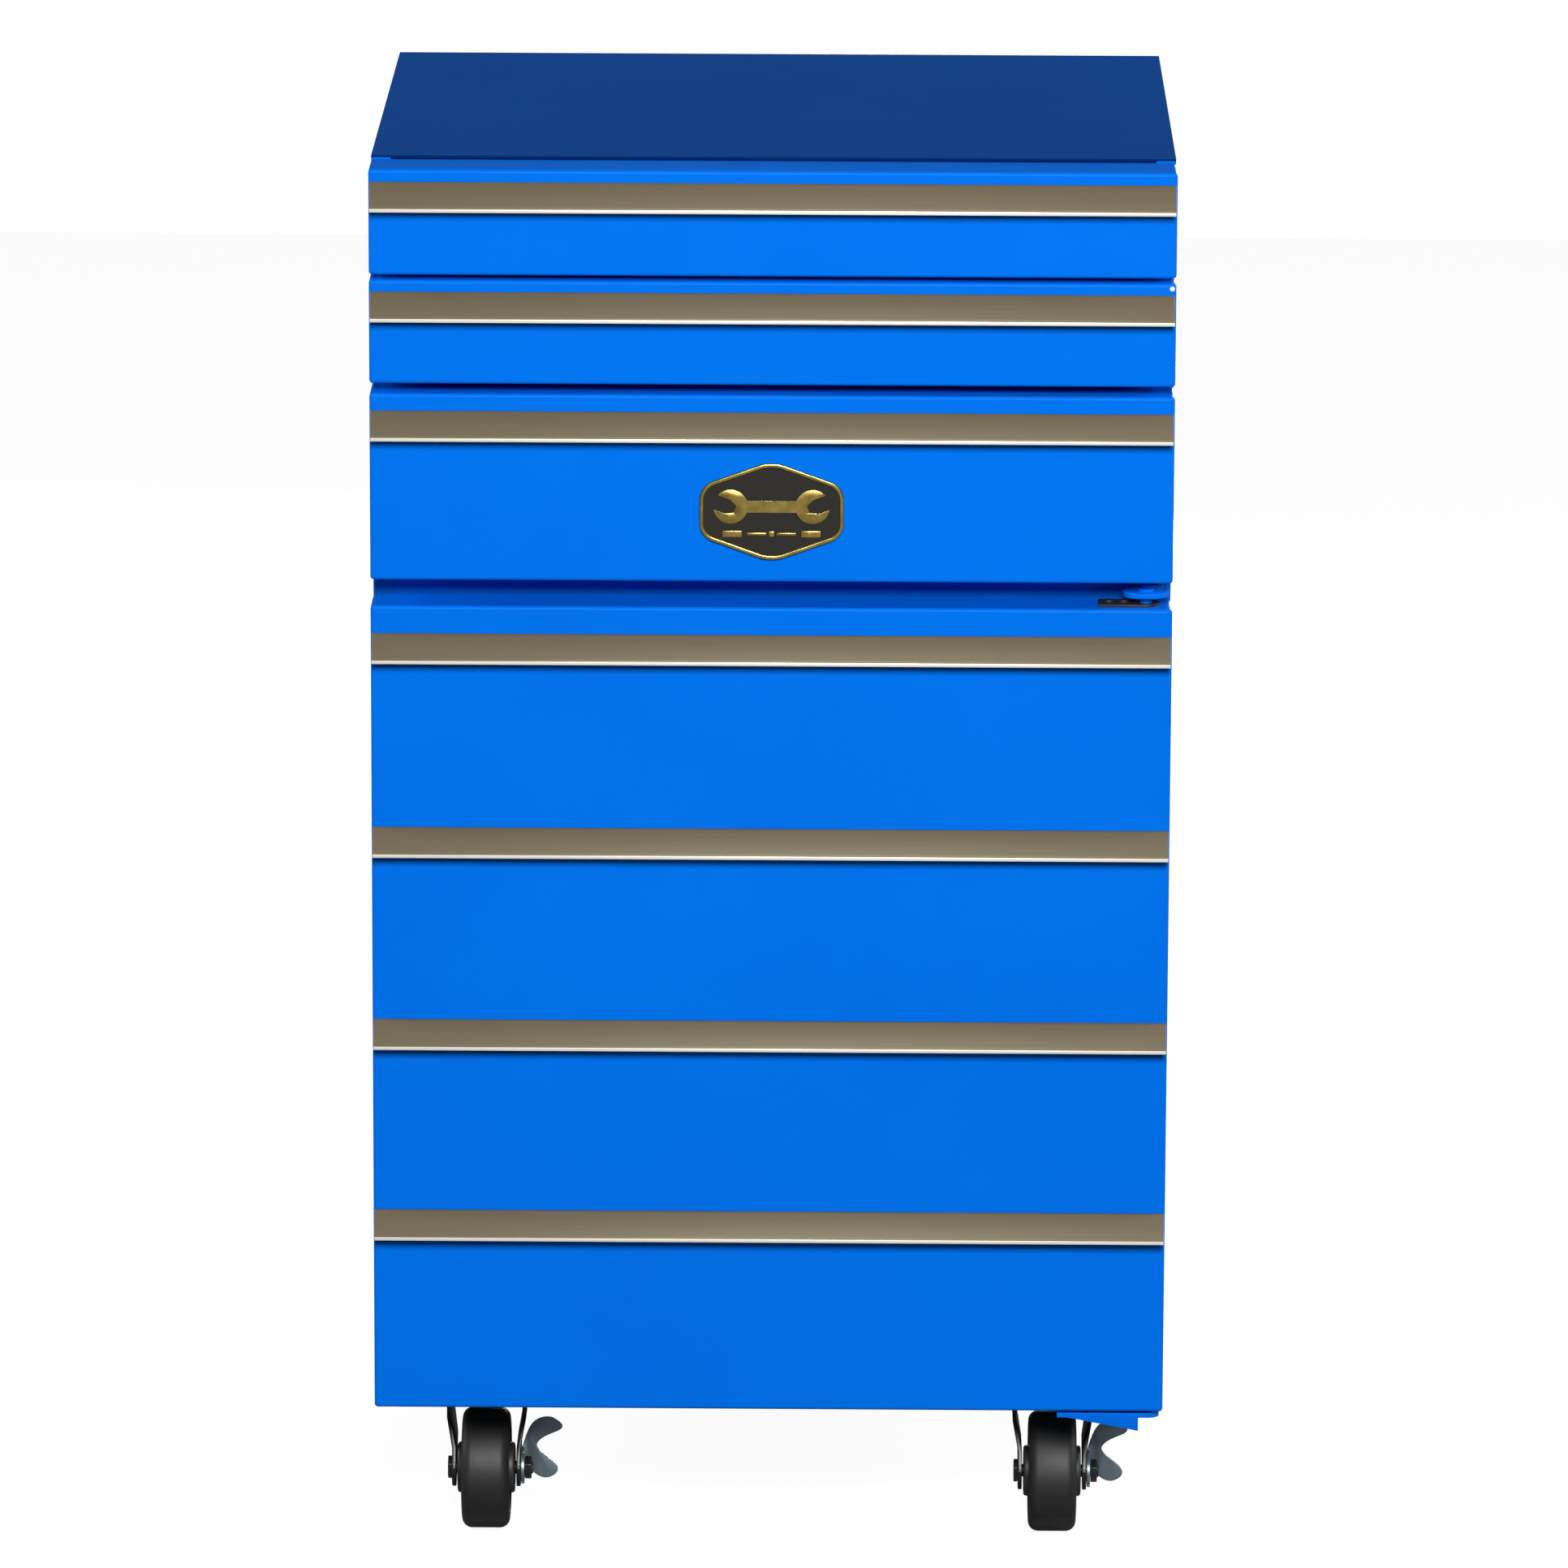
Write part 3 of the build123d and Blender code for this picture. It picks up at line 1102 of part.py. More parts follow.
def main():
    os.makedirs("parts", exist_ok=True)
    save("top_panel", top_panel())
    save("side_panel_left", side_panel(-1))
    save("side_panel_right", side_panel(1))
    save("back_panel", back_panel())
    save("rear_cover", rear_cover())
    save("power_inlet", power_inlet())
    save("front_frame", front_frame())
    save("bay_floor", bay_floor())
    save("base_pan", base_pan())
    save("cabinet_insulation", cabinet_insulation())
    save("cabinet_liner", *cabinet_liner())
    save("wire_shelves", *(wire_shelf(ledge) for ledge in LEDGE_TOPS))
    save("evaporator_plate", evaporator_plate())
    save("thermostat_housing", thermostat_housing())
    save("thermostat_knob", thermostat_knob())
    save("compressor", *compressor())
    save("slide_posts", *slide_posts())
    levels = [slide_height(span) for span in DRAWER_SPANS]
    save("slide_outer_members", *(member for z in levels for member in slide_members(z, "outer")))

    for n, (span, drop) in enumerate(zip(DRAWER_SPANS, HANDLE_DROPS), 1):
        bottom, top = span
        save(f"drawer_{n}_front", pan_front(bottom, top, FRONT_DEPTH - FRONT_GAP))
        save(f"drawer_{n}_tray", drawer_tray(bottom, top))
        save(f"drawer_{n}_pull_rail", pull_rail(top - drop))
        save(f"drawer_{n}_slide_inner", *slide_members(slide_height(span), "inner"))
        save(f"slide_middle_{n}", *slide_members(slide_height(span), "middle"))
    save("badge", *badge())

    save("door_skin", door_skin())
    save("door_foam", door_foam())
    save("door_liner", door_liner())
    save("door_gasket", door_gasket())
    save("door_racks", *(door_rack(n) for n in range(len(RACK_FLOORS))))
    levels = [DOOR_RAIL_TOP - n * DOOR_RAIL_PITCH for n in range(DOOR_HANDLES)]
    save("door_pull_rails", *(pull_rail(z) for z in levels))
    save("door_hinge_bushes", *hinge_bushes())
    save("upper_hinge", *upper_hinge())
    save("lower_hinge", *lower_hinge())
    save("case_screws", *case_screws())

    save("caster_plates", *(caster_plate(name) for name in CASTERS))
    save("caster_bolts", *(caster_bolt(*p) for name in CASTERS for p in bolt_places(name)))
    for name in CASTERS:
        save(f"caster_{name}_fork", fork(name), axle(name))
        save(f"caster_{name}_wheel", wheel_core(name))
        save(f"caster_{name}_tyre", tyre(name))
        if name in BRAKED:
            save(f"caster_{name}_brake", brake_lever(name))


if __name__ == "__main__":
    main()
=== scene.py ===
import json
import math

import bpy
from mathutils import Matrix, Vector

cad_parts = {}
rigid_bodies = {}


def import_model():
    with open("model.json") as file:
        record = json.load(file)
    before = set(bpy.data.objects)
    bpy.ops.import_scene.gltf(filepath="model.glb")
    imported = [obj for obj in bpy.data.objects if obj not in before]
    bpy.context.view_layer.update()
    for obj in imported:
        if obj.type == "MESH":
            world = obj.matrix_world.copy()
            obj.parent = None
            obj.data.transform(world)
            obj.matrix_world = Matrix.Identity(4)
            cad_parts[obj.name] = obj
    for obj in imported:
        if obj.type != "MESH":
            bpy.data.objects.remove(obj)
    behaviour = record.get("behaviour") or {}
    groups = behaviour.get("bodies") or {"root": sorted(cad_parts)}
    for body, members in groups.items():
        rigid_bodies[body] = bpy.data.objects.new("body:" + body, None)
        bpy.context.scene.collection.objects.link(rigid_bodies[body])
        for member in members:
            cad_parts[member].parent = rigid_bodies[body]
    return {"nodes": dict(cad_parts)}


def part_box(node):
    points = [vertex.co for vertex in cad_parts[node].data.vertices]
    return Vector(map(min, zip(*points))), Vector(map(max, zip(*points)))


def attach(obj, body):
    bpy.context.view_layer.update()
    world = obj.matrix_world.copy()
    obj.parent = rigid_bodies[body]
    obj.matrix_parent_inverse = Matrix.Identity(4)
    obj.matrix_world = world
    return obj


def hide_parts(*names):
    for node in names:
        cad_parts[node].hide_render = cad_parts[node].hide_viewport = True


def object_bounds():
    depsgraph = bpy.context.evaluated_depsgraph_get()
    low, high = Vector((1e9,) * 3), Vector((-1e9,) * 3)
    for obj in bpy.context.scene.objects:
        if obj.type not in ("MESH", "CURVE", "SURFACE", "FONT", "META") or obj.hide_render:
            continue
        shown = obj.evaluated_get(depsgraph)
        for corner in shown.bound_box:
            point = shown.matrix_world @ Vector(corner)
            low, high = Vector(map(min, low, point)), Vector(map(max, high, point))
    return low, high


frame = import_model()
cad_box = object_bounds()
chest_low, chest_high = cad_box
MM = 0.001


# Camera and studio. A long lens a little above the chest, as in a catalogue, a plain pale floor,
# one soft box in front, one at each side, a low one behind, and a pale room.

camera_place = (0.0552, -6.4238, 1.9429)
camera_pitch = 76.9
camera_roll = -0.22
camera_yaw = 0.485
camera_data = bpy.data.cameras.new("camera")
camera_data.sensor_width = 36.0
camera_data.lens = 238.8
camera_data.clip_end = 50.0
camera = bpy.data.objects.new("camera", camera_data)
camera.location = camera_place
camera.rotation_euler = [math.radians(angle) for angle in (camera_pitch, camera_roll, camera_yaw)]
bpy.context.scene.collection.objects.link(camera)
bpy.context.scene.camera = camera
bpy.context.scene.view_settings.view_transform = "Standard"


def feed(tree, socket, value):
    """Gives a socket a value, or joins another node's output to it."""
    if isinstance(value, bpy.types.NodeSocket):
        tree.links.new(value, socket)
    else:
        socket.default_value = value


def put(tree, kind, settings=None, **sockets):
    """Adds a shader node, with its settings and with what its sockets are fed."""
    node = tree.nodes.new("ShaderNode" + kind)
    for name, value in (settings or {}).items():
        setattr(node, name, value)
    for name, value in sockets.items():
        feed(tree, node.inputs[name.replace("_", " ")], value)
    return node


def scaled(tree, value, low, high):
    """Maps 0 to 1 onto low to high."""
    return put(tree, "MapRange", Value=value, To_Min=low, To_Max=high).outputs["Result"]


def new_material(name):
    """A material with its tree and its main shader's sockets."""
    material = bpy.data.materials.new(name)
    material.use_nodes = True
    tree = material.node_tree
    return material, tree, tree.nodes["Principled BSDF"].inputs


white = (1.0, 1.0, 1.0, 1.0)
floor_side = 9.0
floor_shown = 0.93
bpy.ops.mesh.primitive_plane_add(size=floor_side)
floor = bpy.context.object
floor.name = "studio_floor"
pale_floor, tree, shader = new_material("pale_floor")
shader["Base Color"].default_value = (0.18, 0.18, 0.18, 1.0)
shader["Roughness"].default_value = 0.8
shader["Specular IOR Level"].default_value = 0.0
shader["Emission Color"].default_value = white
seen = put(tree, "LightPath").outputs["Is Camera Ray"]
feed(tree, shader["Emission Strength"], scaled(tree, seen, 0.0, floor_shown))
floor.data.materials.append(pale_floor)

room_fill = 0.055
room_shown = 1.0
room = bpy.data.worlds.new("pale_room")
bpy.context.scene.world = room
room.use_nodes = True
tree = room.node_tree
room_light = tree.nodes["Background"].inputs
room_light["Color"].default_value = white
seen = put(tree, "LightPath").outputs["Is Camera Ray"]
feed(tree, room_light["Strength"], scaled(tree, seen, room_fill, room_shown))


def soft_box(name, place, size, power):
    """A square area light that looks at the middle of the chest."""
    bpy.ops.object.light_add(type="AREA", location=place)
    light = bpy.context.object
    light.name = name
    light.data.size = size
    light.data.energy = power
    aim = (chest_low + chest_high) / 2 - Vector(place)
    light.rotation_euler = aim.to_track_quat("-Z", "Y").to_euler()
    return light


key = soft_box("front_soft_box", (0.3, -3.8, 2.4), 1.1, 182.0)
soft_box("left_soft_box", (-3.0, 0.5, 1.8), 1.4, 46.0)
soft_box("right_soft_box", (3.0, 0.6, 1.8), 1.4, 56.0)
soft_box("rear_soft_box", (0.5, 3.0, 0.35), 1.0, 60.0)

# A card over the set keeps the front soft box off the lid, whose paint then reads as deep as it is.
carded_off = bpy.data.collections.new("kept_from_the_front_soft_box")
carded_off.objects.link(frame["nodes"]["top_panel"])
key.light_linking.receiver_collection = carded_off
carded_off.collection_objects[0].light_linking.link_state = "EXCLUDE"


# Paint shop. The chest is folded sheet steel with a baked powder coat: even and satin, with a fine
# orange-peel skin, and a lighter blue along folded edges that is partly wear and partly a painted
# highlight of the bends.


def blend_colours(tree, share, first, second):
    """Mixes two colours and gives the mix's output."""
    node = tree.nodes.new("ShaderNodeMix")
    node.data_type = "RGBA"
    share_socket, first_socket, second_socket = node.inputs[0], node.inputs[6], node.inputs[7]
    feed(tree, share_socket, share)
    feed(tree, first_socket, first)
    feed(tree, second_socket, second)
    return node.outputs[2]


def reckon(tree, operation, *values):
    """The result of a sum on numbers or on other nodes' outputs."""
    node = put(tree, "Math", {"operation": operation})
    for socket, value in zip(node.inputs, values):
        feed(tree, socket, value)
    return node.outputs[0]


def new_group(name, numbers, results):
    """A shader group with number inputs, given as name: default, and number outputs."""
    group = bpy.data.node_groups.new(name, "ShaderNodeTree")
    for label, value in numbers.items():
        socket = group.interface.new_socket(name=label, in_out="INPUT", socket_type="NodeSocketFloat")
        socket.default_value = value
    for label in results:
        group.interface.new_socket(name=label, in_out="OUTPUT", socket_type="NodeSocketFloat")
    return group, group.nodes.new("NodeGroupInput").outputs, group.nodes.new("NodeGroupOutput").inputs


def use_group(tree, group, **sockets):
    """Places a group in a material's tree."""
    return put(tree, "Group", {"node_tree": group}, **sockets).outputs


def raise_grain(tree, shader, height, distance, strength=1.0):
    """Turns a height into the shader's normal, with the relief's depth in metres."""
    bump = put(tree, "Bump", Height=height, Distance=distance, Strength=strength)
    feed(tree, shader["Normal"], bump.outputs["Normal"])


dust_fineness = 3.7
dust_share = 0.3
powder_skin, given, result = new_group(
    "powder_skin", {"Peel Scale": 420.0, "Cloud Scale": 5.0}, ("Relief", "Gloss", "Cloud")
)
tree = powder_skin
here = put(tree, "TexCoord").outputs["Object"]
peel = put(tree, "TexNoise", Vector=here, Scale=given["Peel Scale"], Detail=2.0, Roughness=0.55)
dust_scale = reckon(tree, "MULTIPLY", given["Peel Scale"], dust_fineness)
dust = put(tree, "TexNoise", Vector=here, Scale=dust_scale, Detail=1.0)
feed(tree, result["Relief"], reckon(tree, "MULTIPLY_ADD", dust.outputs[0], dust_share, peel.outputs[0]))
cloud = put(tree, "TexNoise", Vector=here, Scale=given["Cloud Scale"], Detail=4.0, Roughness=0.6)
feed(tree, result["Cloud"], cloud.outputs[0])
patch = put(tree, "TexNoise", Vector=here, Scale=38.0, Detail=3.0)
feed(tree, result["Gloss"], patch.outputs[0])

# An edge mask, patchy along sharp edges: real wear on most materials, and on the blue coat also a painted
# highlight.
edge_wear_and_highlight, given, result = new_group("edge_wear_and_highlight", {"Radius": 0.0012, "Reach": 1.0}, ("Mask",))
tree = edge_wear_and_highlight
rounded = put(tree, "Bevel", {"samples": 6}, Radius=given["Radius"]).outputs["Normal"]
flat = put(tree, "NewGeometry").outputs["Normal"]
facing = put(tree, "VectorMath", {"operation": "DOT_PRODUCT"})
feed(tree, facing.inputs[0], rounded)
feed(tree, facing.inputs[1], flat)
edge = put(tree, "MapRange", Value=facing.outputs["Value"], From_Min=0.985, From_Max=0.86)
here = put(tree, "TexCoord").outputs["Object"]
edge_noise = put(tree, "TexNoise", Vector=here, Scale=90.0, Detail=4.0, Roughness=0.65)
edge_patches = put(tree, "MapRange", Value=edge_noise.outputs[0], From_Min=0.42, From_Max=0.66)
both = reckon(tree, "MULTIPLY", edge.outputs["Result"], edge_patches.outputs["Result"])
feed(tree, result["Mask"], reckon(tree, "MULTIPLY", both, given["Reach"]))


def powder_coat(name, colour, deep, edge_tone, gloss, tint=white, specular=0.5, reach=1.0):
    """Baked powder coat: colour and its deeper patches, the tone of its edges, and gloss limits."""
    material, tree, shader = new_material(name)
    skin = use_group(tree, powder_skin)
    edge_mask = use_group(tree, edge_wear_and_highlight, Reach=reach)
    cloudy = put(tree, "MapRange", Value=skin["Cloud"], From_Min=0.35, From_Max=0.65)
    body = blend_colours(tree, cloudy.outputs["Result"], deep, colour)
    feed(tree, shader["Base Color"], blend_colours(tree, edge_mask["Mask"], body, edge_tone))
    feed(tree, shader["Roughness"], scaled(tree, skin["Gloss"], *gloss))
    shader["Specular IOR Level"].default_value = specular
    shader["Specular Tint"].default_value = tint
    raise_grain(tree, shader, skin["Relief"], 0.00012, 0.5)
    return material


def dress(material, *names):
    """Gives CAD nodes a material."""
    for name in names:
        frame["nodes"][name].material_slots[0].material = material


blue_powder = powder_coat(
    "blue_powder_coat",
    colour=(0.0002, 0.160, 0.78, 1.0),
    deep=(0.0001, 0.150, 0.75, 1.0),
    # The lighter blue along the edges is partly wear and partly a painted highlight of the folded bends.
    edge_tone=(0.01, 0.26, 0.95, 1.0),
    gloss=(0.30, 0.42),
    tint=(0.25, 0.55, 1.0, 1.0),
    specular=0.1,
    reach=0.35,
)
dress(
    blue_powder,
    "top_panel",
    "side_panel_left",
    "side_panel_right",
    "front_frame",
    "drawer_1_front",
    "drawer_2_front",
    "drawer_3_front",
    "door_skin",
)


# Hidden steelwork. Back, rear cover, base, deck and slide posts are bare galvanised sheet: a dull
# grey with the small flat crystals of zinc.

spangle, given, result = new_group("zinc_spangle", {"Scale": 190.0}, ("Tone", "Edge"))
tree = spangle
here = put(tree, "TexCoord").outputs["Object"]
bend = put(tree, "TexNoise", Vector=here, Scale=60.0, Detail=3.0)
bent = put(tree, "MixRGB", {"blend_type": "ADD"}, Fac=0.02, Color1=here, Color2=bend.outputs["Color"])
crystal = put(tree, "TexVoronoi", Vector=bent.outputs[0], Scale=given["Scale"])
grey = put(tree, "SeparateColor", Color=crystal.outputs["Color"])
feed(tree, result["Tone"], grey.outputs["Red"])
feed(tree, result["Edge"], crystal.outputs["Distance"])

galvanised, tree, shader = new_material("galvanised_sheet")
crystals = use_group(tree, spangle)
edge_mask = use_group(tree, edge_wear_and_highlight, Reach=0.6)
sheet = blend_colours(tree, crystals["Tone"], (0.39, 0.41, 0.43, 1.0), (0.47, 0.49, 0.51, 1.0))
feed(tree, shader["Base Color"], blend_colours(tree, edge_mask["Mask"], sheet, (0.7, 0.7, 0.7, 1.0)))
feed(tree, shader["Roughness"], scaled(tree, crystals["Tone"], 0.40, 0.48))
shader["Metallic"].default_value = 0.9
raise_grain(tree, shader, crystals["Edge"], 0.00005, 0.4)
dress(galvanised, "back_panel", "base_pan", "bay_floor", "rear_cover", "slide_posts")


# Copies of CAD pieces. A pressed or moulded piece has no knife edges, so where one is seen close up
# a copy of it with its edges rounded stands for it.

double = 0.01 * MM
flat_angle = 1.0
sharp_angle = 35.0


def alone(piece):
    """Leaves edit mode and makes a piece the only one selected, and the active one."""
    if bpy.context.mode == "EDIT_MESH":
        bpy.ops.object.mode_set(mode="OBJECT")
    bpy.ops.object.select_all(action="DESELECT")
    piece.select_set(True)
    bpy.context.view_layer.objects.active = piece


def add_modifier(piece, kind, **settings):
    """Adds a modifier and applies it."""
    alone(piece)
    modifier = piece.modifiers.new(kind.lower(), kind)
    for name, value in settings.items():
        setattr(modifier, name, value)
    bpy.ops.object.modifier_apply(modifier=modifier.name)


def smooth(piece, degrees=sharp_angle):
    """Shades a piece smooth except at its sharp edges."""
    alone(piece)
    bpy.ops.object.shade_smooth_by_angle(angle=math.radians(degrees))


def paint(piece, body, slot, *materials):
    """Gives a finished piece its body and its materials; its record slot is not used."""
    piece.data.materials.clear()
    for material in materials:
        piece.data.materials.append(material)
    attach(piece, body)


def round_edges(piece, width, segments, degrees):
    """Bevels a piece's edges that turn by more than an angle."""
    add_modifier(
        piece,
        "BEVEL",
        width=width,
        segments=segments,
        limit_method="ANGLE",
        angle_limit=math.radians(degrees),
    )


def rounded_copy(node, name, radius):
    """A copy of a CAD node with its doubles merged and its edges rounded, standing for the node."""
    source = frame["nodes"][node]
    piece = bpy.data.objects.new(name, source.data.copy())
    bpy.context.scene.collection.objects.link(piece)
    alone(piece)
    bpy.ops.mesh.customdata_custom_splitnormals_clear()
    bpy.ops.object.mode_set(mode="EDIT")
    bpy.ops.mesh.select_all(action="SELECT")
    bpy.ops.mesh.remove_doubles(threshold=double)
    bpy.ops.mesh.dissolve_limited(angle_limit=math.radians(flat_angle))
    bpy.ops.object.mode_set(mode="OBJECT")
    round_edges(piece, width=radius, segments=2, degrees=sharp_angle)
    smooth(piece)
    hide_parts(node)
    return piece


# Drawer trays and slides. The trays are folded sheet with a charcoal powder coat and a ribbed mat
# laid in, and they run on three-member ball-bearing slides of bright zinc-plated steel.

charcoal = powder_coat(
    "charcoal_powder_coat",
    colour=(0.035, 0.037, 0.040, 1.0),
    deep=(0.027, 0.029, 0.031, 1.0),
    edge_tone=(0.11, 0.11, 0.12, 1.0),
    gloss=(0.42, 0.58),
)
dress(charcoal, "drawer_1_tray", "drawer_2_tray", "drawer_3_tray")

rolled_streaks, given, result = new_group("rolled_streaks", {"Across": 900.0, "Along": 12.0}, ("Streak",))
tree = rolled_streaks
here = put(tree, "TexCoord").outputs["Object"]
apart = put(tree, "SeparateXYZ", Vector=here)
stretch = put(tree, "CombineXYZ")
for axis, scale in (("X", "Across"), ("Y", "Along"), ("Z", "Across")):
    feed(tree, stretch.inputs[axis], reckon(tree, "MULTIPLY", apart.outputs[axis], given[scale]))
streak = put(tree, "TexNoise", Vector=stretch.outputs[0], Scale=1.0, Detail=4.0, Roughness=0.6)
feed(tree, result["Streak"], streak.outputs[0])

slide_steel, tree, shader = new_material("plated_slide_steel")
streaks = use_group(tree, rolled_streaks)
edge_mask = use_group(tree, edge_wear_and_highlight, Reach=0.8)
plated = blend_colours(tree, streaks["Streak"], (0.46, 0.48, 0.50, 1.0), (0.66, 0.68, 0.70, 1.0))
feed(tree, shader["Base Color"], blend_colours(tree, edge_mask["Mask"], plated, (0.8, 0.8, 0.8, 1.0)))
feed(tree, shader["Roughness"], scaled(tree, streaks["Streak"], 0.24, 0.42))
shader["Metallic"].default_value = 1.0
raise_grain(tree, shader, streaks["Streak"], 0.00004, 0.5)
dress(slide_steel, "slide_outer_members")
for number in (1, 2, 3):
    dress(slide_steel, f"slide_middle_{number}", f"drawer_{number}_slide_inner")


def pick(piece, kind, test):
    """Selects a piece's faces or edges that pass a test on their middle point and direction."""
    alone(piece)
    bpy.ops.object.mode_set(mode="EDIT")
    bpy.ops.mesh.select_mode(type=kind)
    bpy.ops.mesh.select_all(action="DESELECT")
    bpy.ops.object.mode_set(mode="OBJECT")
    mesh = piece.data
    if kind == "FACE":
        for face in mesh.polygons:
            face.select = test(face.center, face.normal)
    else:
        for edge in mesh.edges:
            start, end = (mesh.vertices[index].co for index in edge.vertices)
            edge.select = test((start + end) / 2, (end - start).normalized())
    bpy.ops.object.mode_set(mode="EDIT")


def bridge_rims(piece):
    """Joins a piece's two open rims with a band of faces."""
    alone(piece)
    bpy.ops.object.mode_set(mode="EDIT")
    bpy.ops.mesh.select_mode(type="EDGE")
    bpy.ops.mesh.select_all(action="DESELECT")
    bpy.ops.mesh.select_non_manifold(extend=False)
    bpy.ops.mesh.bridge_edge_loops()
    bpy.ops.object.mode_set(mode="OBJECT")


def settle(piece):
    """Leaves edit mode and puts the piece's place into its mesh."""
    bpy.ops.object.mode_set(mode="OBJECT")
    alone(piece)
    bpy.ops.object.transform_apply(location=True, rotation=True, scale=True)


def close_up(piece):
    """Merges doubles and turns all faces outwards."""
    alone(piece)
    bpy.ops.object.mode_set(mode="EDIT")
    bpy.ops.mesh.select_all(action="SELECT")
    bpy.ops.mesh.remove_doubles(threshold=double)
    bpy.ops.mesh.normals_make_consistent(inside=False)
    bpy.ops.object.mode_set(mode="OBJECT")


ribbed_mat, tree, shader = new_material("ribbed_mat")
skin = use_group(tree, powder_skin, Peel_Scale=1500.0)
feed(
    tree,
    shader["Base Color"],
    blend_colours(tree, skin["Cloud"], (0.018, 0.018, 0.019, 1.0), (0.032, 0.032, 0.034, 1.0)),
)
feed(tree, shader["Roughness"], scaled(tree, skin["Gloss"], 0.62, 0.82))
raise_grain(tree, shader, skin["Relief"], 0.0001)

mat_thickness = 1.6 * MM
mat_rib_height = 0.5 * MM
mat_gap = 1.2 * MM
mat_ribs = 96
tray_wall = 2.4 * MM
tray_sheet = 1.2 * MM
tray_floor_lift = 4.7 * MM
slide_member_width = 7.0 * MM
for number in (1, 2, 3):
    low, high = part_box(f"drawer_{number}_tray")
    inner_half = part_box(f"drawer_{number}_slide_inner")[1].x - slide_member_width - tray_wall - mat_gap
    front_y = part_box(f"drawer_{number}_front")[1].y + mat_gap
    rear_y = high.y - tray_wall - mat_gap
    floor_z = low.z + tray_floor_lift + tray_sheet
    bpy.ops.mesh.primitive_grid_add(x_subdivisions=2 * mat_ribs, y_subdivisions=1, size=1.0)
    mat = bpy.context.object
    mat.name = f"drawer_{number}_mat"
    mat.scale = (2 * inner_half, rear_y - front_y, 1.0)
    mat.location = (0.0, (front_y + rear_y) / 2, floor_z + mat_thickness)
    settle(mat)
    rib = inner_half / mat_ribs
    pick(mat, "FACE", lambda middle, normal: int((middle.x + inner_half) / rib) % 2 == 0)
    bpy.ops.mesh.extrude_region_move(TRANSFORM_OT_translate={"value": (0.0, 0.0, mat_rib_height)})
    add_modifier(mat, "SOLIDIFY", thickness=mat_thickness, offset=-1.0)
    close_up(mat)
    paint(mat, f"drawer_{number}", "moulded_black", ribbed_mat)


# Pull rails. Full-width extrusions of brushed, champagne-anodised aluminium: a flange against the
# front, a bulged face that runs out and down, and a flat lip over the open finger gap with a painted
# highlight.

rail_wall = 1.6 * MM
rail_lip = 2.2 * MM
rail_shoulder = 1.6 * MM
rail_bulge = 0.5 * MM
rail_flange = 9.35 * MM
rail_steps = 10
to_front = (math.radians(90.0), 0.0, 0.0)

brushed_rail, tree, shader = new_material("champagne_brushed_aluminium")
here = put(tree, "TexCoord").outputs["Object"]
lengthways = put(tree, "Mapping", Vector=here, Scale=(9.0, 2600.0, 2600.0))
brush = put(tree, "TexNoise", Vector=lengthways.outputs[0], Scale=1.0, Detail=5.0, Roughness=0.62)
broad = put(tree, "Mapping", Vector=here, Scale=(3.0, 300.0, 300.0))
band = put(tree, "TexNoise", Vector=broad.outputs[0], Scale=1.0, Detail=2.0)
edge_mask = use_group(tree, edge_wear_and_highlight, Radius=0.0008, Reach=1.0)
grain = blend_colours(tree, brush.outputs[0], (0.122, 0.094, 0.054, 1.0), (0.190, 0.150, 0.088, 1.0))
toned = blend_colours(tree, scaled(tree, band.outputs[0], 0.0, 0.5), grain, (0.152, 0.120, 0.070, 1.0))
feed(tree, shader["Base Color"], blend_colours(tree, edge_mask["Mask"], toned, (0.45, 0.41, 0.31, 1.0)))
feed(tree, shader["Roughness"], scaled(tree, brush.outputs[0], 0.46, 0.6))
shader["Metallic"].default_value = 0.25
raise_grain(tree, shader, brush.outputs[0], 0.00003, 0.6)

# The lip and the sawn ends get a near-white painted highlight, with faint streaks, for the light they
# catch.
lip_painted_highlight, tree, shader = new_material("rail_lip_painted_highlight")
here = put(tree, "TexCoord").outputs["Object"]
lengthways = put(tree, "Mapping", Vector=here, Scale=(14.0, 1800.0, 1800.0))
highlight_streaks = put(tree, "TexNoise", Vector=lengthways.outputs[0], Scale=1.0, Detail=4.0)
feed(
    tree,
    shader["Base Color"],
    blend_colours(tree, highlight_streaks.outputs[0], (0.84, 0.80, 0.66, 1.0), (0.97, 0.95, 0.85, 1.0)),
)
feed(tree, shader["Roughness"], scaled(tree, highlight_streaks.outputs[0], 0.3, 0.45))
shader["Metallic"].default_value = 0.35
raise_grain(tree, shader, highlight_streaks.outputs[0], 0.00002, 0.5)


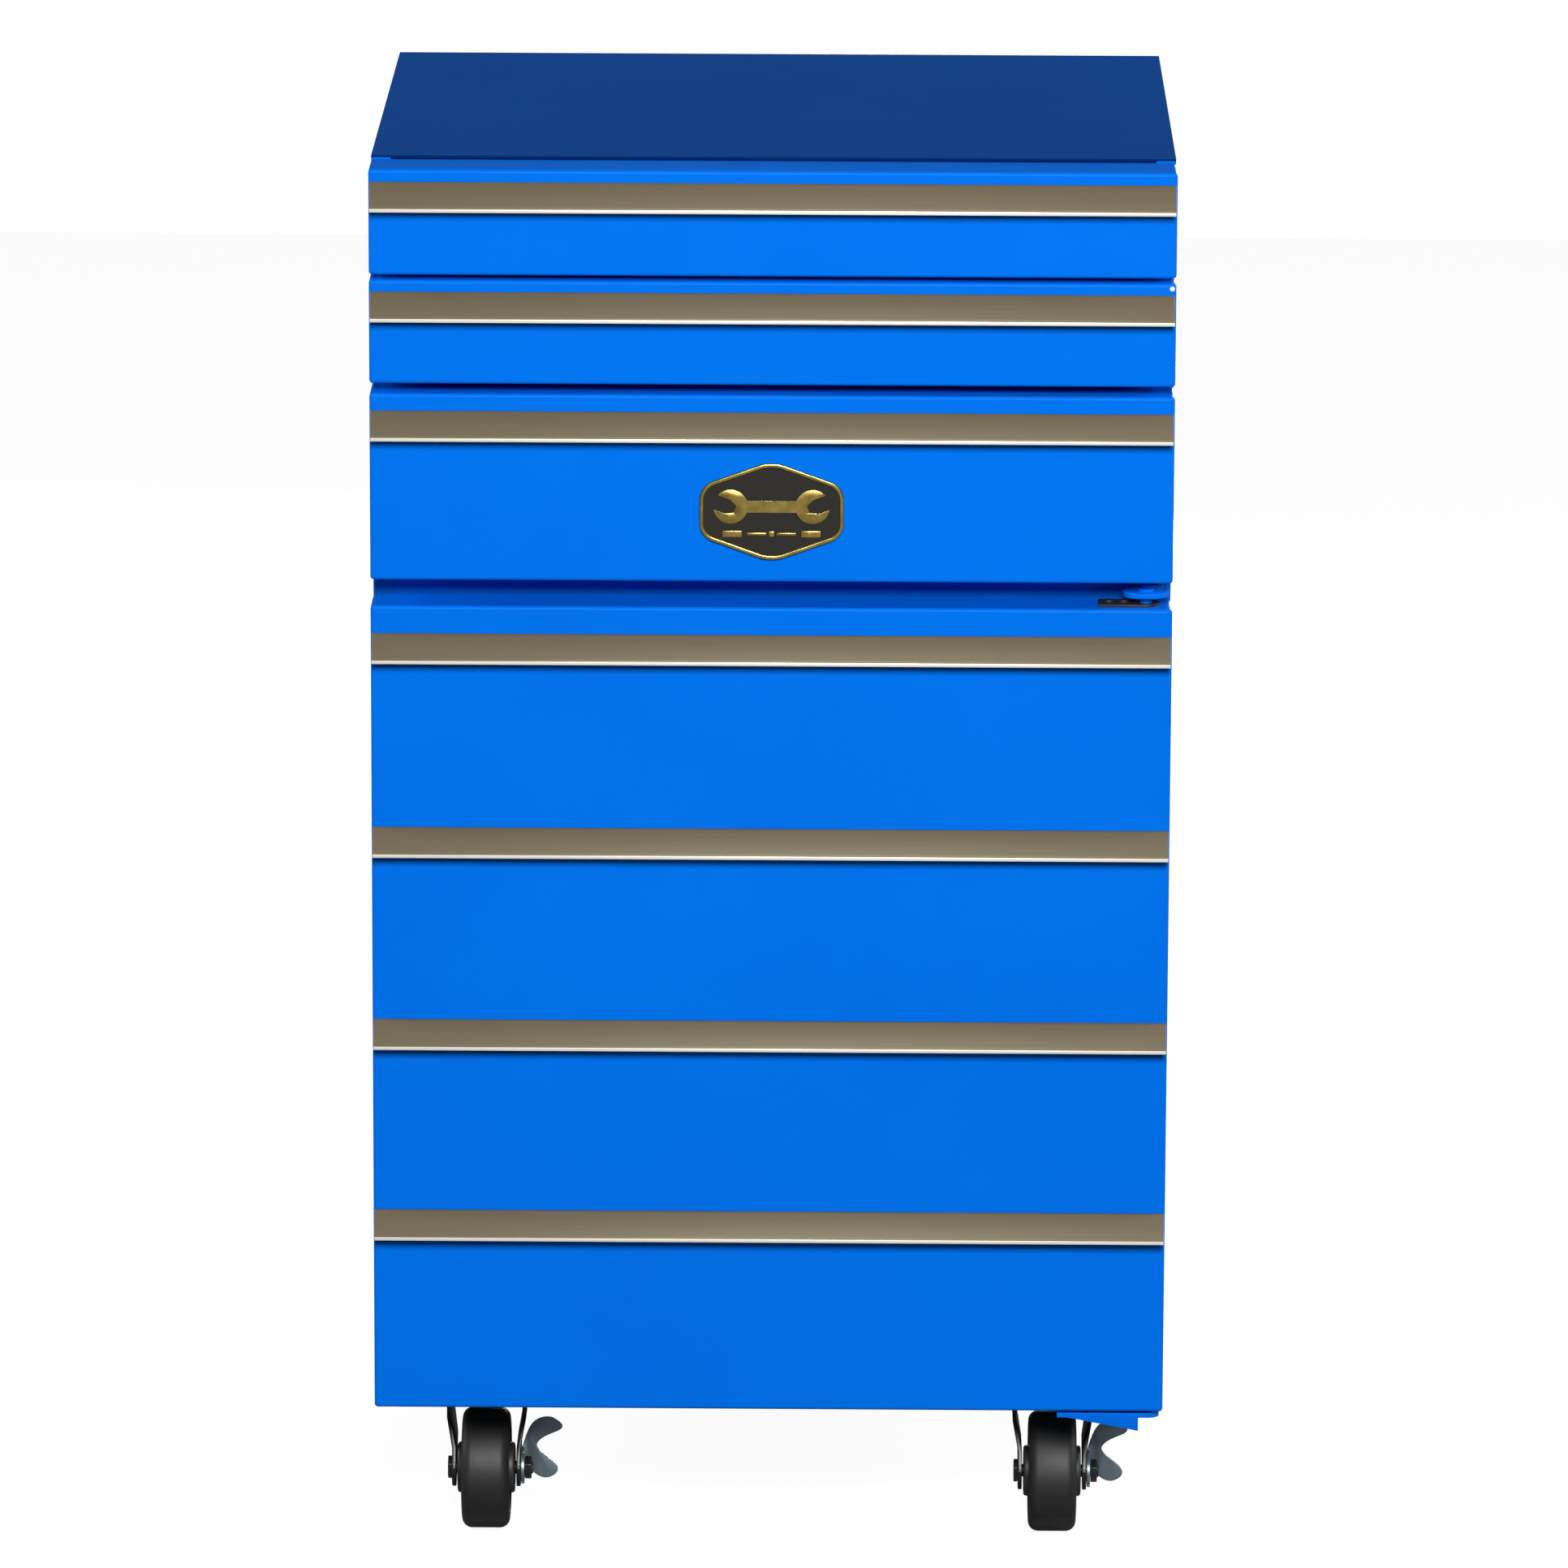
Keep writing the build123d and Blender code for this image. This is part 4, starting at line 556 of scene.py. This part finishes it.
def model_rail(name, low, high):
    """A rail drawn from its flange, face and lip, between the low and high corner of its CAD box."""
    bpy.ops.mesh.primitive_plane_add(
        size=1.0, location=(0.0, high.y, high.z - rail_flange / 2), rotation=to_front
    )
    rail = bpy.context.object
    rail.name = name
    rail.scale = (high.x - low.x, rail_flange, 1.0)
    settle(rail)
    pick(rail, "EDGE", lambda middle, way: middle.z > high.z - rail_flange / 4)
    bpy.ops.mesh.extrude_region_move(TRANSFORM_OT_translate={"value": (0.0, -rail_shoulder, 0.0)})
    run = Vector((0.0, low.y - high.y + rail_shoulder, low.z - high.z + rail_lip))
    outward = Vector((0.0, run.z, -run.y)).normalized() * rail_bulge
    if outward.z < 0:
        outward = -outward
    last = Vector((0.0, 0.0, 0.0))
    for step in range(1, rail_steps + 1):
        share = step / rail_steps
        point = run * share + outward * math.sin(math.pi * share)
        bpy.ops.mesh.extrude_region_move(TRANSFORM_OT_translate={"value": point - last})
        last = point
    bpy.ops.mesh.extrude_region_move(TRANSFORM_OT_translate={"value": (0.0, 0.0, -rail_lip)})
    close_up(rail)
    lip_faces = [face for face in rail.data.polygons if face.center.z < low.z + rail_lip]
    inward = 1.0 if lip_faces[0].normal.y > 0 else -1.0
    add_modifier(rail, "SOLIDIFY", thickness=rail_wall, offset=inward, use_even_offset=True)
    close_up(rail)
    round_edges(rail, width=0.3 * MM, segments=2, degrees=40.0)
    smooth(rail)
    return rail


def finish_rail(rail, body, low):
    """Brushed rail whose lip and sawn ends carry a near-white painted highlight."""
    paint(rail, body, "pull_aluminium", brushed_rail, lip_painted_highlight)
    for face in rail.data.polygons:
        on_lip = face.center.y < low.y + rail_lip / 2 and face.center.z < low.z + rail_lip
        face.material_index = int(on_lip or abs(face.normal.x) > 0.5)


for number in (1, 2, 3):
    node = f"drawer_{number}_pull_rail"
    low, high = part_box(node)
    rail = model_rail(f"drawer_{number}_rail", low, high)
    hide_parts(node)
    finish_rail(rail, f"drawer_{number}", low)

door_rails_low, door_rails_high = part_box("door_pull_rails")
door_rail_height = 17.0 * MM
door_rail_count = 4
door_rail_pitch = (door_rails_high.z - door_rails_low.z - door_rail_height) / (door_rail_count - 1)
for number in range(door_rail_count):
    top = door_rails_high.z - number * door_rail_pitch
    low = Vector((door_rails_low.x, door_rails_low.y, top - door_rail_height))
    high = Vector((door_rails_high.x, door_rails_high.y, top))
    rail = model_rail(f"door_rail_{number + 1}", low, high)
    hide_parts("door_pull_rails")
    finish_rail(rail, "door", low)


# Badge. A die-cast plate pinned to the third front: a rounded six-sided rim of polished brass round
# a near-black field, with a plain raised emblem of an open-ended spanner over a row of bars.

badge_low, badge_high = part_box("badge")
badge_z = (badge_low.z + badge_high.z) / 2
badge_width = badge_high.x - badge_low.x
badge_depth = badge_high.y - badge_low.y
badge_height = 63.0 * MM
badge_corner = 8.0 * MM
badge_rim_width = 2.6 * MM
field_depth = 1.4 * MM
field_tuck = 0.2 * MM

polished_brass, tree, shader = new_material("polished_brass")
here = put(tree, "TexCoord").outputs["Object"]
tarnish = put(tree, "TexNoise", Vector=here, Scale=160.0, Detail=5.0, Roughness=0.6)
edge_mask = use_group(tree, edge_wear_and_highlight, Radius=0.0006)
gold = blend_colours(tree, tarnish.outputs[0], (0.50, 0.33, 0.055, 1.0), (0.92, 0.70, 0.20, 1.0))
feed(tree, shader["Base Color"], blend_colours(tree, edge_mask["Mask"], gold, (1.0, 0.93, 0.68, 1.0)))
feed(tree, shader["Roughness"], scaled(tree, tarnish.outputs[0], 0.18, 0.34))
shader["Metallic"].default_value = 1.0
raise_grain(tree, shader, tarnish.outputs[0], 0.00004, 0.3)

badge_black, tree, shader = new_material("badge_black")
here = put(tree, "TexCoord").outputs["Object"]
cast = put(tree, "TexNoise", Vector=here, Scale=1400.0, Detail=3.0)
feed(
    tree,
    shader["Base Color"],
    blend_colours(tree, cast.outputs[0], (0.010, 0.009, 0.006, 1.0), (0.020, 0.018, 0.013, 1.0)),
)
feed(tree, shader["Roughness"], scaled(tree, cast.outputs[0], 0.4, 0.6))
shader["Specular IOR Level"].default_value = 0.25
raise_grain(tree, shader, cast.outputs[0], 0.00015, 0.7)


def hexagon_plate(name, place, width, height, depth, corner):
    """A six-sided plate with upright sides, facing the front, its corners rounded."""
    bpy.ops.mesh.primitive_cylinder_add(
        vertices=6, radius=1.0, depth=1.0, location=place, rotation=to_front
    )
    plate = bpy.context.object
    plate.name = name
    plate.scale = (width / math.sqrt(3), height / 2, depth)
    settle(plate)
    pick(plate, "EDGE", lambda middle, way: abs(way.y) > 0.9)
    bpy.ops.mesh.bevel(offset=corner, offset_type="OFFSET", segments=8, profile=0.5)
    bpy.ops.object.mode_set(mode="OBJECT")
    return plate


rim = hexagon_plate(
    "badge_rim",
    (0.0, badge_high.y - badge_depth / 2, badge_z),
    badge_width,
    badge_height,
    badge_depth,
    badge_corner,
)
for side in (-1, 1):
    pick(rim, "FACE", lambda middle, normal: normal.y * side > 0.9)
    bpy.ops.mesh.inset(thickness=badge_rim_width)
    bpy.ops.mesh.delete(type="FACE")
bridge_rims(rim)
close_up(rim)
round_edges(rim, width=0.8 * MM, segments=4, degrees=50.0)
smooth(rim, degrees=50.0)
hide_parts("badge")
paint(rim, "drawer_3", "badge_metal", polished_brass)

field = hexagon_plate(
    "badge_field",
    (0.0, badge_high.y - field_depth / 2, badge_z),
    badge_width - 2 * (badge_rim_width - field_tuck),
    badge_height - 2 * (badge_rim_width - field_tuck),
    field_depth,
    badge_corner - badge_rim_width,
)
smooth(field)
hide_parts("badge")
paint(field, "drawer_3", "badge_metal", badge_black)

emblem_y = badge_high.y - field_depth
emblem_depth = 1.0 * MM
spanner_length = 50.0 * MM
spanner_head = 10.5 * MM
spanner_shank = 7.2 * MM
spanner_z = badge_z + 3.0 * MM
jaw_width = 10.0 * MM
jaw_height = 9.3 * MM
jaw_depth = 3.0 * MM
jaw_corner = 0.2 * MM
jaw_shift = 2.0 * MM
jaw_turn = 20.0
mouth_shift = 7.0 * MM
mouth_width = 14.0 * MM
tablet_z = badge_z - 14.0 * MM
# The middle, width and height of each bar, in millimetres.
tablets = ((-24.0, 12.0, 4.0), (-9.0, 12.0, 1.6), (0.0, 3.4, 3.4), (9.0, 12.0, 1.6), (24.0, 12.0, 4.0))


def block(name, place, width, depth, height):
    """An upright block."""
    bpy.ops.mesh.primitive_cube_add(size=1.0, location=place)
    piece = bpy.context.object
    piece.name = name
    piece.scale = (width, depth, height)
    settle(piece)
    return piece


def combine(piece, operation, other):
    """Adds another piece to a piece or cuts it out, and removes the other piece."""
    add_modifier(piece, "BOOLEAN", operation=operation, object=other, solver="EXACT")
    bpy.data.objects.remove(other)


spanner = block("badge_spanner", (0.0, emblem_y, spanner_z), spanner_length, emblem_depth, spanner_shank)
for side in (-1, 1):
    head_x = side * spanner_length / 2
    bpy.ops.mesh.primitive_cylinder_add(
        vertices=40,
        radius=spanner_head,
        depth=emblem_depth,
        location=(head_x, emblem_y, spanner_z),
        rotation=to_front,
    )
    head = bpy.context.object
    settle(head)
    combine(spanner, "UNION", head)
    jaw = hexagon_plate("jaw", (0.0, 0.0, 0.0), jaw_width, jaw_height, jaw_depth, jaw_corner)
    mouth = block("mouth", (side * mouth_shift, 0.0, 0.0), mouth_width, jaw_depth, jaw_height)
    for cutter in (jaw, mouth):
        cutter.rotation_euler = (0.0, math.radians(-jaw_turn * side), 0.0)
        cutter.location = (head_x + side * jaw_shift, emblem_y, spanner_z)
        settle(cutter)
        combine(spanner, "DIFFERENCE", cutter)
round_edges(spanner, width=0.25 * MM, segments=2, degrees=40.0)
smooth(spanner)
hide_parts("badge")
paint(spanner, "drawer_3", "badge_metal", polished_brass)
for number, (x, width, height) in enumerate(tablets):
    place = (x * MM, emblem_y, tablet_z)
    tablet = block(f"badge_tablet_{number + 1}", place, width * MM, emblem_depth, height * MM)
    round_edges(tablet, width=0.3 * MM, segments=3, degrees=30.0)
    smooth(tablet)
    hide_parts("badge")
    paint(tablet, "drawer_3", "badge_metal", polished_brass)


# Bumper. A pea of white nylon pushed into the right upper corner of the second front, which keeps
# it from rattling against the case.

white_nylon, tree, shader = new_material("white_nylon")
here = put(tree, "TexCoord").outputs["Object"]
grain = put(tree, "TexNoise", Vector=here, Scale=900.0, Detail=2.0)
feed(
    tree,
    shader["Base Color"],
    blend_colours(tree, grain.outputs[0], (0.70, 0.70, 0.68, 1.0), (0.82, 0.82, 0.80, 1.0)),
)
feed(tree, shader["Roughness"], scaled(tree, grain.outputs[0], 0.4, 0.55))
bumper_radius = 1.6 * MM
bumper_depth = 1.2 * MM
bumper_proud = 0.5 * MM
bumper_from_side = 2.6 * MM
bumper_from_top = 3.0 * MM
front_low, front_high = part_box("drawer_2_front")
bpy.ops.mesh.primitive_cylinder_add(
    vertices=24,
    radius=bumper_radius,
    depth=bumper_depth,
    location=(
        front_high.x - bumper_from_side,
        front_low.y - bumper_proud,
        front_high.z - bumper_from_top,
    ),
    rotation=to_front,
)
bumper = bpy.context.object
bumper.name = "drawer_2_bumper"
settle(bumper)
round_edges(bumper, width=0.5 * MM, segments=4, degrees=30.0)
smooth(bumper)
paint(bumper, "drawer_2", "liner_white", white_nylon)


# Cold cabinet and door lining. Thermoformed white polystyrene with a faint pebble and soft corners,
# wire shelves dipped in white, a rolled aluminium cold plate, and foam between liner and steel.


def moulded(name, light, dark, gloss, pebble=1100.0, depth=0.00008, reach=0.0):
    """Moulded plastic or rubber: two close tones, gloss limits, and the size of its pebble."""
    material, tree, shader = new_material(name)
    skin = use_group(tree, powder_skin, Peel_Scale=pebble)
    cloudy = put(tree, "MapRange", Value=skin["Cloud"], From_Min=0.35, From_Max=0.65)
    tone = blend_colours(tree, cloudy.outputs["Result"], dark, light)
    if reach:
        edge_mask = use_group(tree, edge_wear_and_highlight, Reach=reach)
        pale = tuple(min(1.0, channel * 2.2) for channel in light[:3]) + (1.0,)
        tone = blend_colours(tree, edge_mask["Mask"], tone, pale)
    feed(tree, shader["Base Color"], tone)
    feed(tree, shader["Roughness"], scaled(tree, skin["Gloss"], *gloss))
    raise_grain(tree, shader, skin["Relief"], depth, 0.6)
    return material


liner_white = moulded("white_liner", (0.82, 0.83, 0.83, 1.0), (0.76, 0.77, 0.78, 1.0), (0.3, 0.42))
cabinet_shell = rounded_copy("cabinet_liner", "cabinet_liner_shell", radius=0.6 * MM)
paint(cabinet_shell, "case", "liner_white", liner_white)
door_shell = rounded_copy("door_liner", "door_liner_shell", radius=1.6 * MM)
paint(door_shell, "door", "liner_white", liner_white)
control_box = rounded_copy("thermostat_housing", "thermostat_box", radius=1.2 * MM)
paint(control_box, "case", "liner_white", liner_white)

shelf_white = powder_coat(
    "white_dipped_wire",
    colour=(0.82, 0.82, 0.81, 1.0),
    deep=(0.76, 0.76, 0.75, 1.0),
    edge_tone=(0.60, 0.60, 0.58, 1.0),
    gloss=(0.28, 0.4),
)
dress(shelf_white, "wire_shelves")

cold_plate, tree, shader = new_material("rolled_aluminium")
frost = put(tree, "TexNoise", Vector=put(tree, "TexCoord").outputs["Object"], Scale=220.0, Detail=6.0)
feed(
    tree,
    shader["Base Color"],
    blend_colours(tree, frost.outputs[0], (0.60, 0.62, 0.64, 1.0), (0.78, 0.80, 0.82, 1.0)),
)
feed(tree, shader["Roughness"], scaled(tree, frost.outputs[0], 0.3, 0.55))
shader["Metallic"].default_value = 0.9
raise_grain(tree, shader, frost.outputs[0], 0.0001, 0.5)
cold_panel = rounded_copy("evaporator_plate", "cold_plate", radius=0.5 * MM)
paint(cold_panel, "case", "evaporator", cold_plate)

foam_yellow = moulded(
    "rigid_foam",
    (0.74, 0.62, 0.34, 1.0),
    (0.62, 0.50, 0.25, 1.0),
    (0.8, 0.95),
    pebble=260.0,
    depth=0.0006,
)
dress(foam_yellow, "cabinet_insulation", "door_foam")

rack_plastic = moulded("frosted_rack", (0.72, 0.79, 0.83, 1.0), (0.66, 0.74, 0.78, 1.0), (0.12, 0.22))
racks = rounded_copy("door_racks", "door_bottle_racks", radius=0.7 * MM)
paint(racks, "door", "rack_clear", rack_plastic)

seal_rubber = moulded(
    "gasket_rubber",
    (0.075, 0.075, 0.08, 1.0),
    (0.055, 0.055, 0.06, 1.0),
    (0.5, 0.65),
    pebble=1800.0,
)
seal = rounded_copy("door_gasket", "door_seal", radius=0.7 * MM)
paint(seal, "door", "gasket", seal_rubber)

black_moulding = moulded(
    "black_moulding", (0.022, 0.022, 0.023, 1.0), (0.015, 0.015, 0.016, 1.0), (0.38, 0.52), reach=0.6
)
dial = rounded_copy("thermostat_knob", "thermostat_dial_knob", radius=0.5 * MM)
paint(dial, "thermostat_dial", "moulded_black", black_moulding)
inlet = rounded_copy("power_inlet", "mains_inlet", radius=0.3 * MM)
paint(inlet, "case", "moulded_black", black_moulding)
bushes = rounded_copy("door_hinge_bushes", "door_bushes", radius=0.25 * MM)
paint(bushes, "door", "moulded_black", black_moulding)

compressor_black = powder_coat(
    "compressor_enamel",
    colour=(0.018, 0.018, 0.019, 1.0),
    deep=(0.012, 0.012, 0.013, 1.0),
    edge_tone=(0.08, 0.08, 0.08, 1.0),
    gloss=(0.28, 0.42),
)
dress(compressor_black, "compressor")


# Hinges and screws. Pressed brackets in the chest's own blue, with zinc-plated pan-head screws
# whose cross recess is cut where each screw of the case stands.

top_bracket = rounded_copy("upper_hinge", "upper_hinge_bracket", radius=0.5 * MM)
paint(top_bracket, "case", "powder_blue", blue_powder)
bottom_bracket = rounded_copy("lower_hinge", "lower_hinge_bracket", radius=0.5 * MM)
paint(bottom_bracket, "case", "powder_blue", blue_powder)

zinc_plate, tree, shader = new_material("zinc_plate")
here = put(tree, "TexCoord").outputs["Object"]
mottle = put(tree, "TexNoise", Vector=here, Scale=70.0, Detail=6.0, Roughness=0.6)
fine = put(tree, "TexNoise", Vector=here, Scale=900.0, Detail=3.0)
edge_mask = use_group(tree, edge_wear_and_highlight, Radius=0.0009)
passivated = blend_colours(tree, mottle.outputs[0], (0.24, 0.33, 0.38, 1.0), (0.38, 0.47, 0.51, 1.0))
feed(tree, shader["Base Color"], blend_colours(tree, edge_mask["Mask"], passivated, (0.72, 0.76, 0.78, 1.0)))
feed(tree, shader["Roughness"], scaled(tree, fine.outputs[0], 0.32, 0.48))
shader["Metallic"].default_value = 0.8
raise_grain(tree, shader, fine.outputs[0], 0.00006, 0.5)

screws = frame["nodes"]["case_screws"]
loose = bpy.data.objects.new("screw_places", screws.data.copy())
bpy.context.scene.collection.objects.link(loose)
close_up(loose)
bpy.ops.object.mode_set(mode="EDIT")
bpy.ops.mesh.separate(type="LOOSE")
bpy.ops.object.mode_set(mode="OBJECT")
screw_boxes = []
for part in [o for o in bpy.context.scene.objects if o.name.startswith("screw_places")]:
    corners = [vertex.co for vertex in part.data.vertices]
    low = Vector(min(corner[axis] for corner in corners) for axis in range(3))
    high = Vector(max(corner[axis] for corner in corners) for axis in range(3))
    screw_boxes.append((low, high))
    bpy.data.objects.remove(part)

head_radius = 3.5 * MM
head_height = 1.2 * MM
head_dome = 0.8 * MM
shank_radius = 2.0 * MM
cross_length = 3.4 * MM
cross_width = 0.7 * MM
cross_depth = 1.6 * MM
for number, (low, high) in enumerate(sorted(screw_boxes, key=lambda box: tuple(box[0]))):
    middle = (low + high) / 2
    size = high - low
    if size.z > size.y:
        head, turn, length = Vector((middle.x, middle.y, low.z)), (math.pi, 0.0, 0.0), size.z
    elif middle.y < 0.0:
        head, turn, length = Vector((middle.x, low.y, middle.z)), (math.pi / 2, 0.0, 0.0), size.y
    else:
        head, turn, length = Vector((middle.x, high.y, middle.z)), (-math.pi / 2, 0.0, 0.0), size.y
    bpy.ops.mesh.primitive_cylinder_add(
        vertices=32, radius=head_radius, depth=head_height, location=(0.0, 0.0, -head_height / 2)
    )
    screw = bpy.context.object
    screw.name = f"case_screw_{number + 1}"
    settle(screw)
    pick(screw, "FACE", lambda middle, normal: normal.z < -0.9)
    bpy.ops.mesh.inset(thickness=head_radius - shank_radius)
    bpy.ops.mesh.extrude_region_move(
        TRANSFORM_OT_translate={"value": (0.0, 0.0, -(length - head_height))}
    )
    pick(screw, "EDGE", lambda middle, way: middle.z > -double and middle.length > head_radius * 0.9)
    bpy.ops.mesh.bevel(offset=head_dome, segments=4)
    bpy.ops.object.mode_set(mode="OBJECT")
    for width, depth in ((cross_length, cross_width), (cross_width, cross_length)):
        combine(screw, "DIFFERENCE", block("blade", (0.0, 0.0, 0.0), width, depth, cross_depth))
    screw.rotation_euler = turn
    screw.location = head
    settle(screw)
    smooth(screw)
    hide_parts("case_screws")
    paint(screw, "case", "zinc", zinc_plate)


# Casters. Zinc-plated top plates and bolts, black pressed yokes, solid rubber tyres on moulded
# cores, and on the front pair a pressed two-lobed foot lever on the axle.

plates = rounded_copy("caster_plates", "caster_top_plates", radius=0.5 * MM)
paint(plates, "case", "zinc", zinc_plate)
bolts = rounded_copy("caster_bolts", "caster_bolt_set", radius=0.4 * MM)
paint(bolts, "case", "zinc", zinc_plate)

yoke_black = powder_coat(
    "black_yoke_paint",
    colour=(0.013, 0.013, 0.014, 1.0),
    deep=(0.009, 0.009, 0.010, 1.0),
    edge_tone=(0.10, 0.10, 0.11, 1.0),
    gloss=(0.28, 0.42),
)
core_black = moulded(
    "wheel_core_plastic", (0.030, 0.030, 0.031, 1.0), (0.022, 0.022, 0.023, 1.0), (0.4, 0.55)
)

tyre_rubber, tree, shader = new_material("tyre_rubber")
skin = use_group(tree, powder_skin, Peel_Scale=900.0)
here = put(tree, "TexCoord").outputs["Object"]
height_above_floor = put(tree, "SeparateXYZ", Vector=here).outputs["Z"]
dusty = put(tree, "MapRange", Value=height_above_floor, From_Min=0.018, From_Max=0.0)
scuff = put(tree, "TexNoise", Vector=here, Scale=160.0, Detail=5.0, Roughness=0.7)
dust = reckon(tree, "MULTIPLY", dusty.outputs["Result"], scuff.outputs[0])
rubber = blend_colours(tree, skin["Cloud"], (0.011, 0.011, 0.011, 1.0), (0.019, 0.019, 0.018, 1.0))
feed(tree, shader["Base Color"], blend_colours(tree, dust, rubber, (0.12, 0.10, 0.07, 1.0)))
feed(tree, shader["Roughness"], scaled(tree, skin["Gloss"], 0.45, 0.65))
raise_grain(tree, shader, skin["Relief"], 0.0001, 0.6)

tyre_shoulder = 6.3 * MM
tyre_fit = 0.05 * MM


def off_axle(point, axle):
    """Distance of a point from an axle line, which lies along X."""
    return math.hypot(point.y - axle.y, point.z - axle.z)


for place in ("front_left", "front_right", "rear_left", "rear_right"):
    yoke = rounded_copy(f"caster_{place}_fork", f"caster_{place}_pressed_yoke", radius=0.4 * MM)
    paint(yoke, f"caster_{place}_yoke", "fork_black", yoke_black)

    low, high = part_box(f"caster_{place}_tyre")
    core_low, core_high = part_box(f"caster_{place}_wheel")
    middle = (low + high) / 2
    radius = (high.z - low.z) / 2
    seat = (core_high.z - core_low.z) / 2 + tyre_fit
    bpy.ops.mesh.primitive_cylinder_add(
        vertices=96,
        radius=radius,
        depth=high.x - low.x,
        location=middle,
        rotation=(0.0, math.pi / 2, 0.0),
    )
    tyre = bpy.context.object
    tyre.name = f"caster_{place}_rubber_tyre"
    settle(tyre)
    pick(tyre, "FACE", lambda point, normal: abs(normal.x) > 0.9)
    bpy.ops.mesh.inset(thickness=radius - seat)
    bpy.ops.mesh.delete(type="FACE")
    bridge_rims(tyre)
    pick(tyre, "EDGE", lambda point, way: abs(way.x) < 0.5 and off_axle(point, middle) > radius * 0.97)
    bpy.ops.mesh.bevel(offset=tyre_shoulder, segments=7)
    close_up(tyre)
    smooth(tyre, degrees=40.0)
    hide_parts(f"caster_{place}_tyre")
    paint(tyre, f"caster_{place}_rolling_wheel", "tyre_black", tyre_rubber)

    core = rounded_copy(f"caster_{place}_wheel", f"caster_{place}_wheel_core", radius=0.6 * MM)
    paint(core, f"caster_{place}_rolling_wheel", "wheel_core", core_black)

for place in ("front_left", "front_right"):
    lever = rounded_copy(f"caster_{place}_brake", f"caster_{place}_foot_lever", radius=0.5 * MM)
    paint(lever, f"caster_{place}_brake_lever", "zinc", zinc_plate)
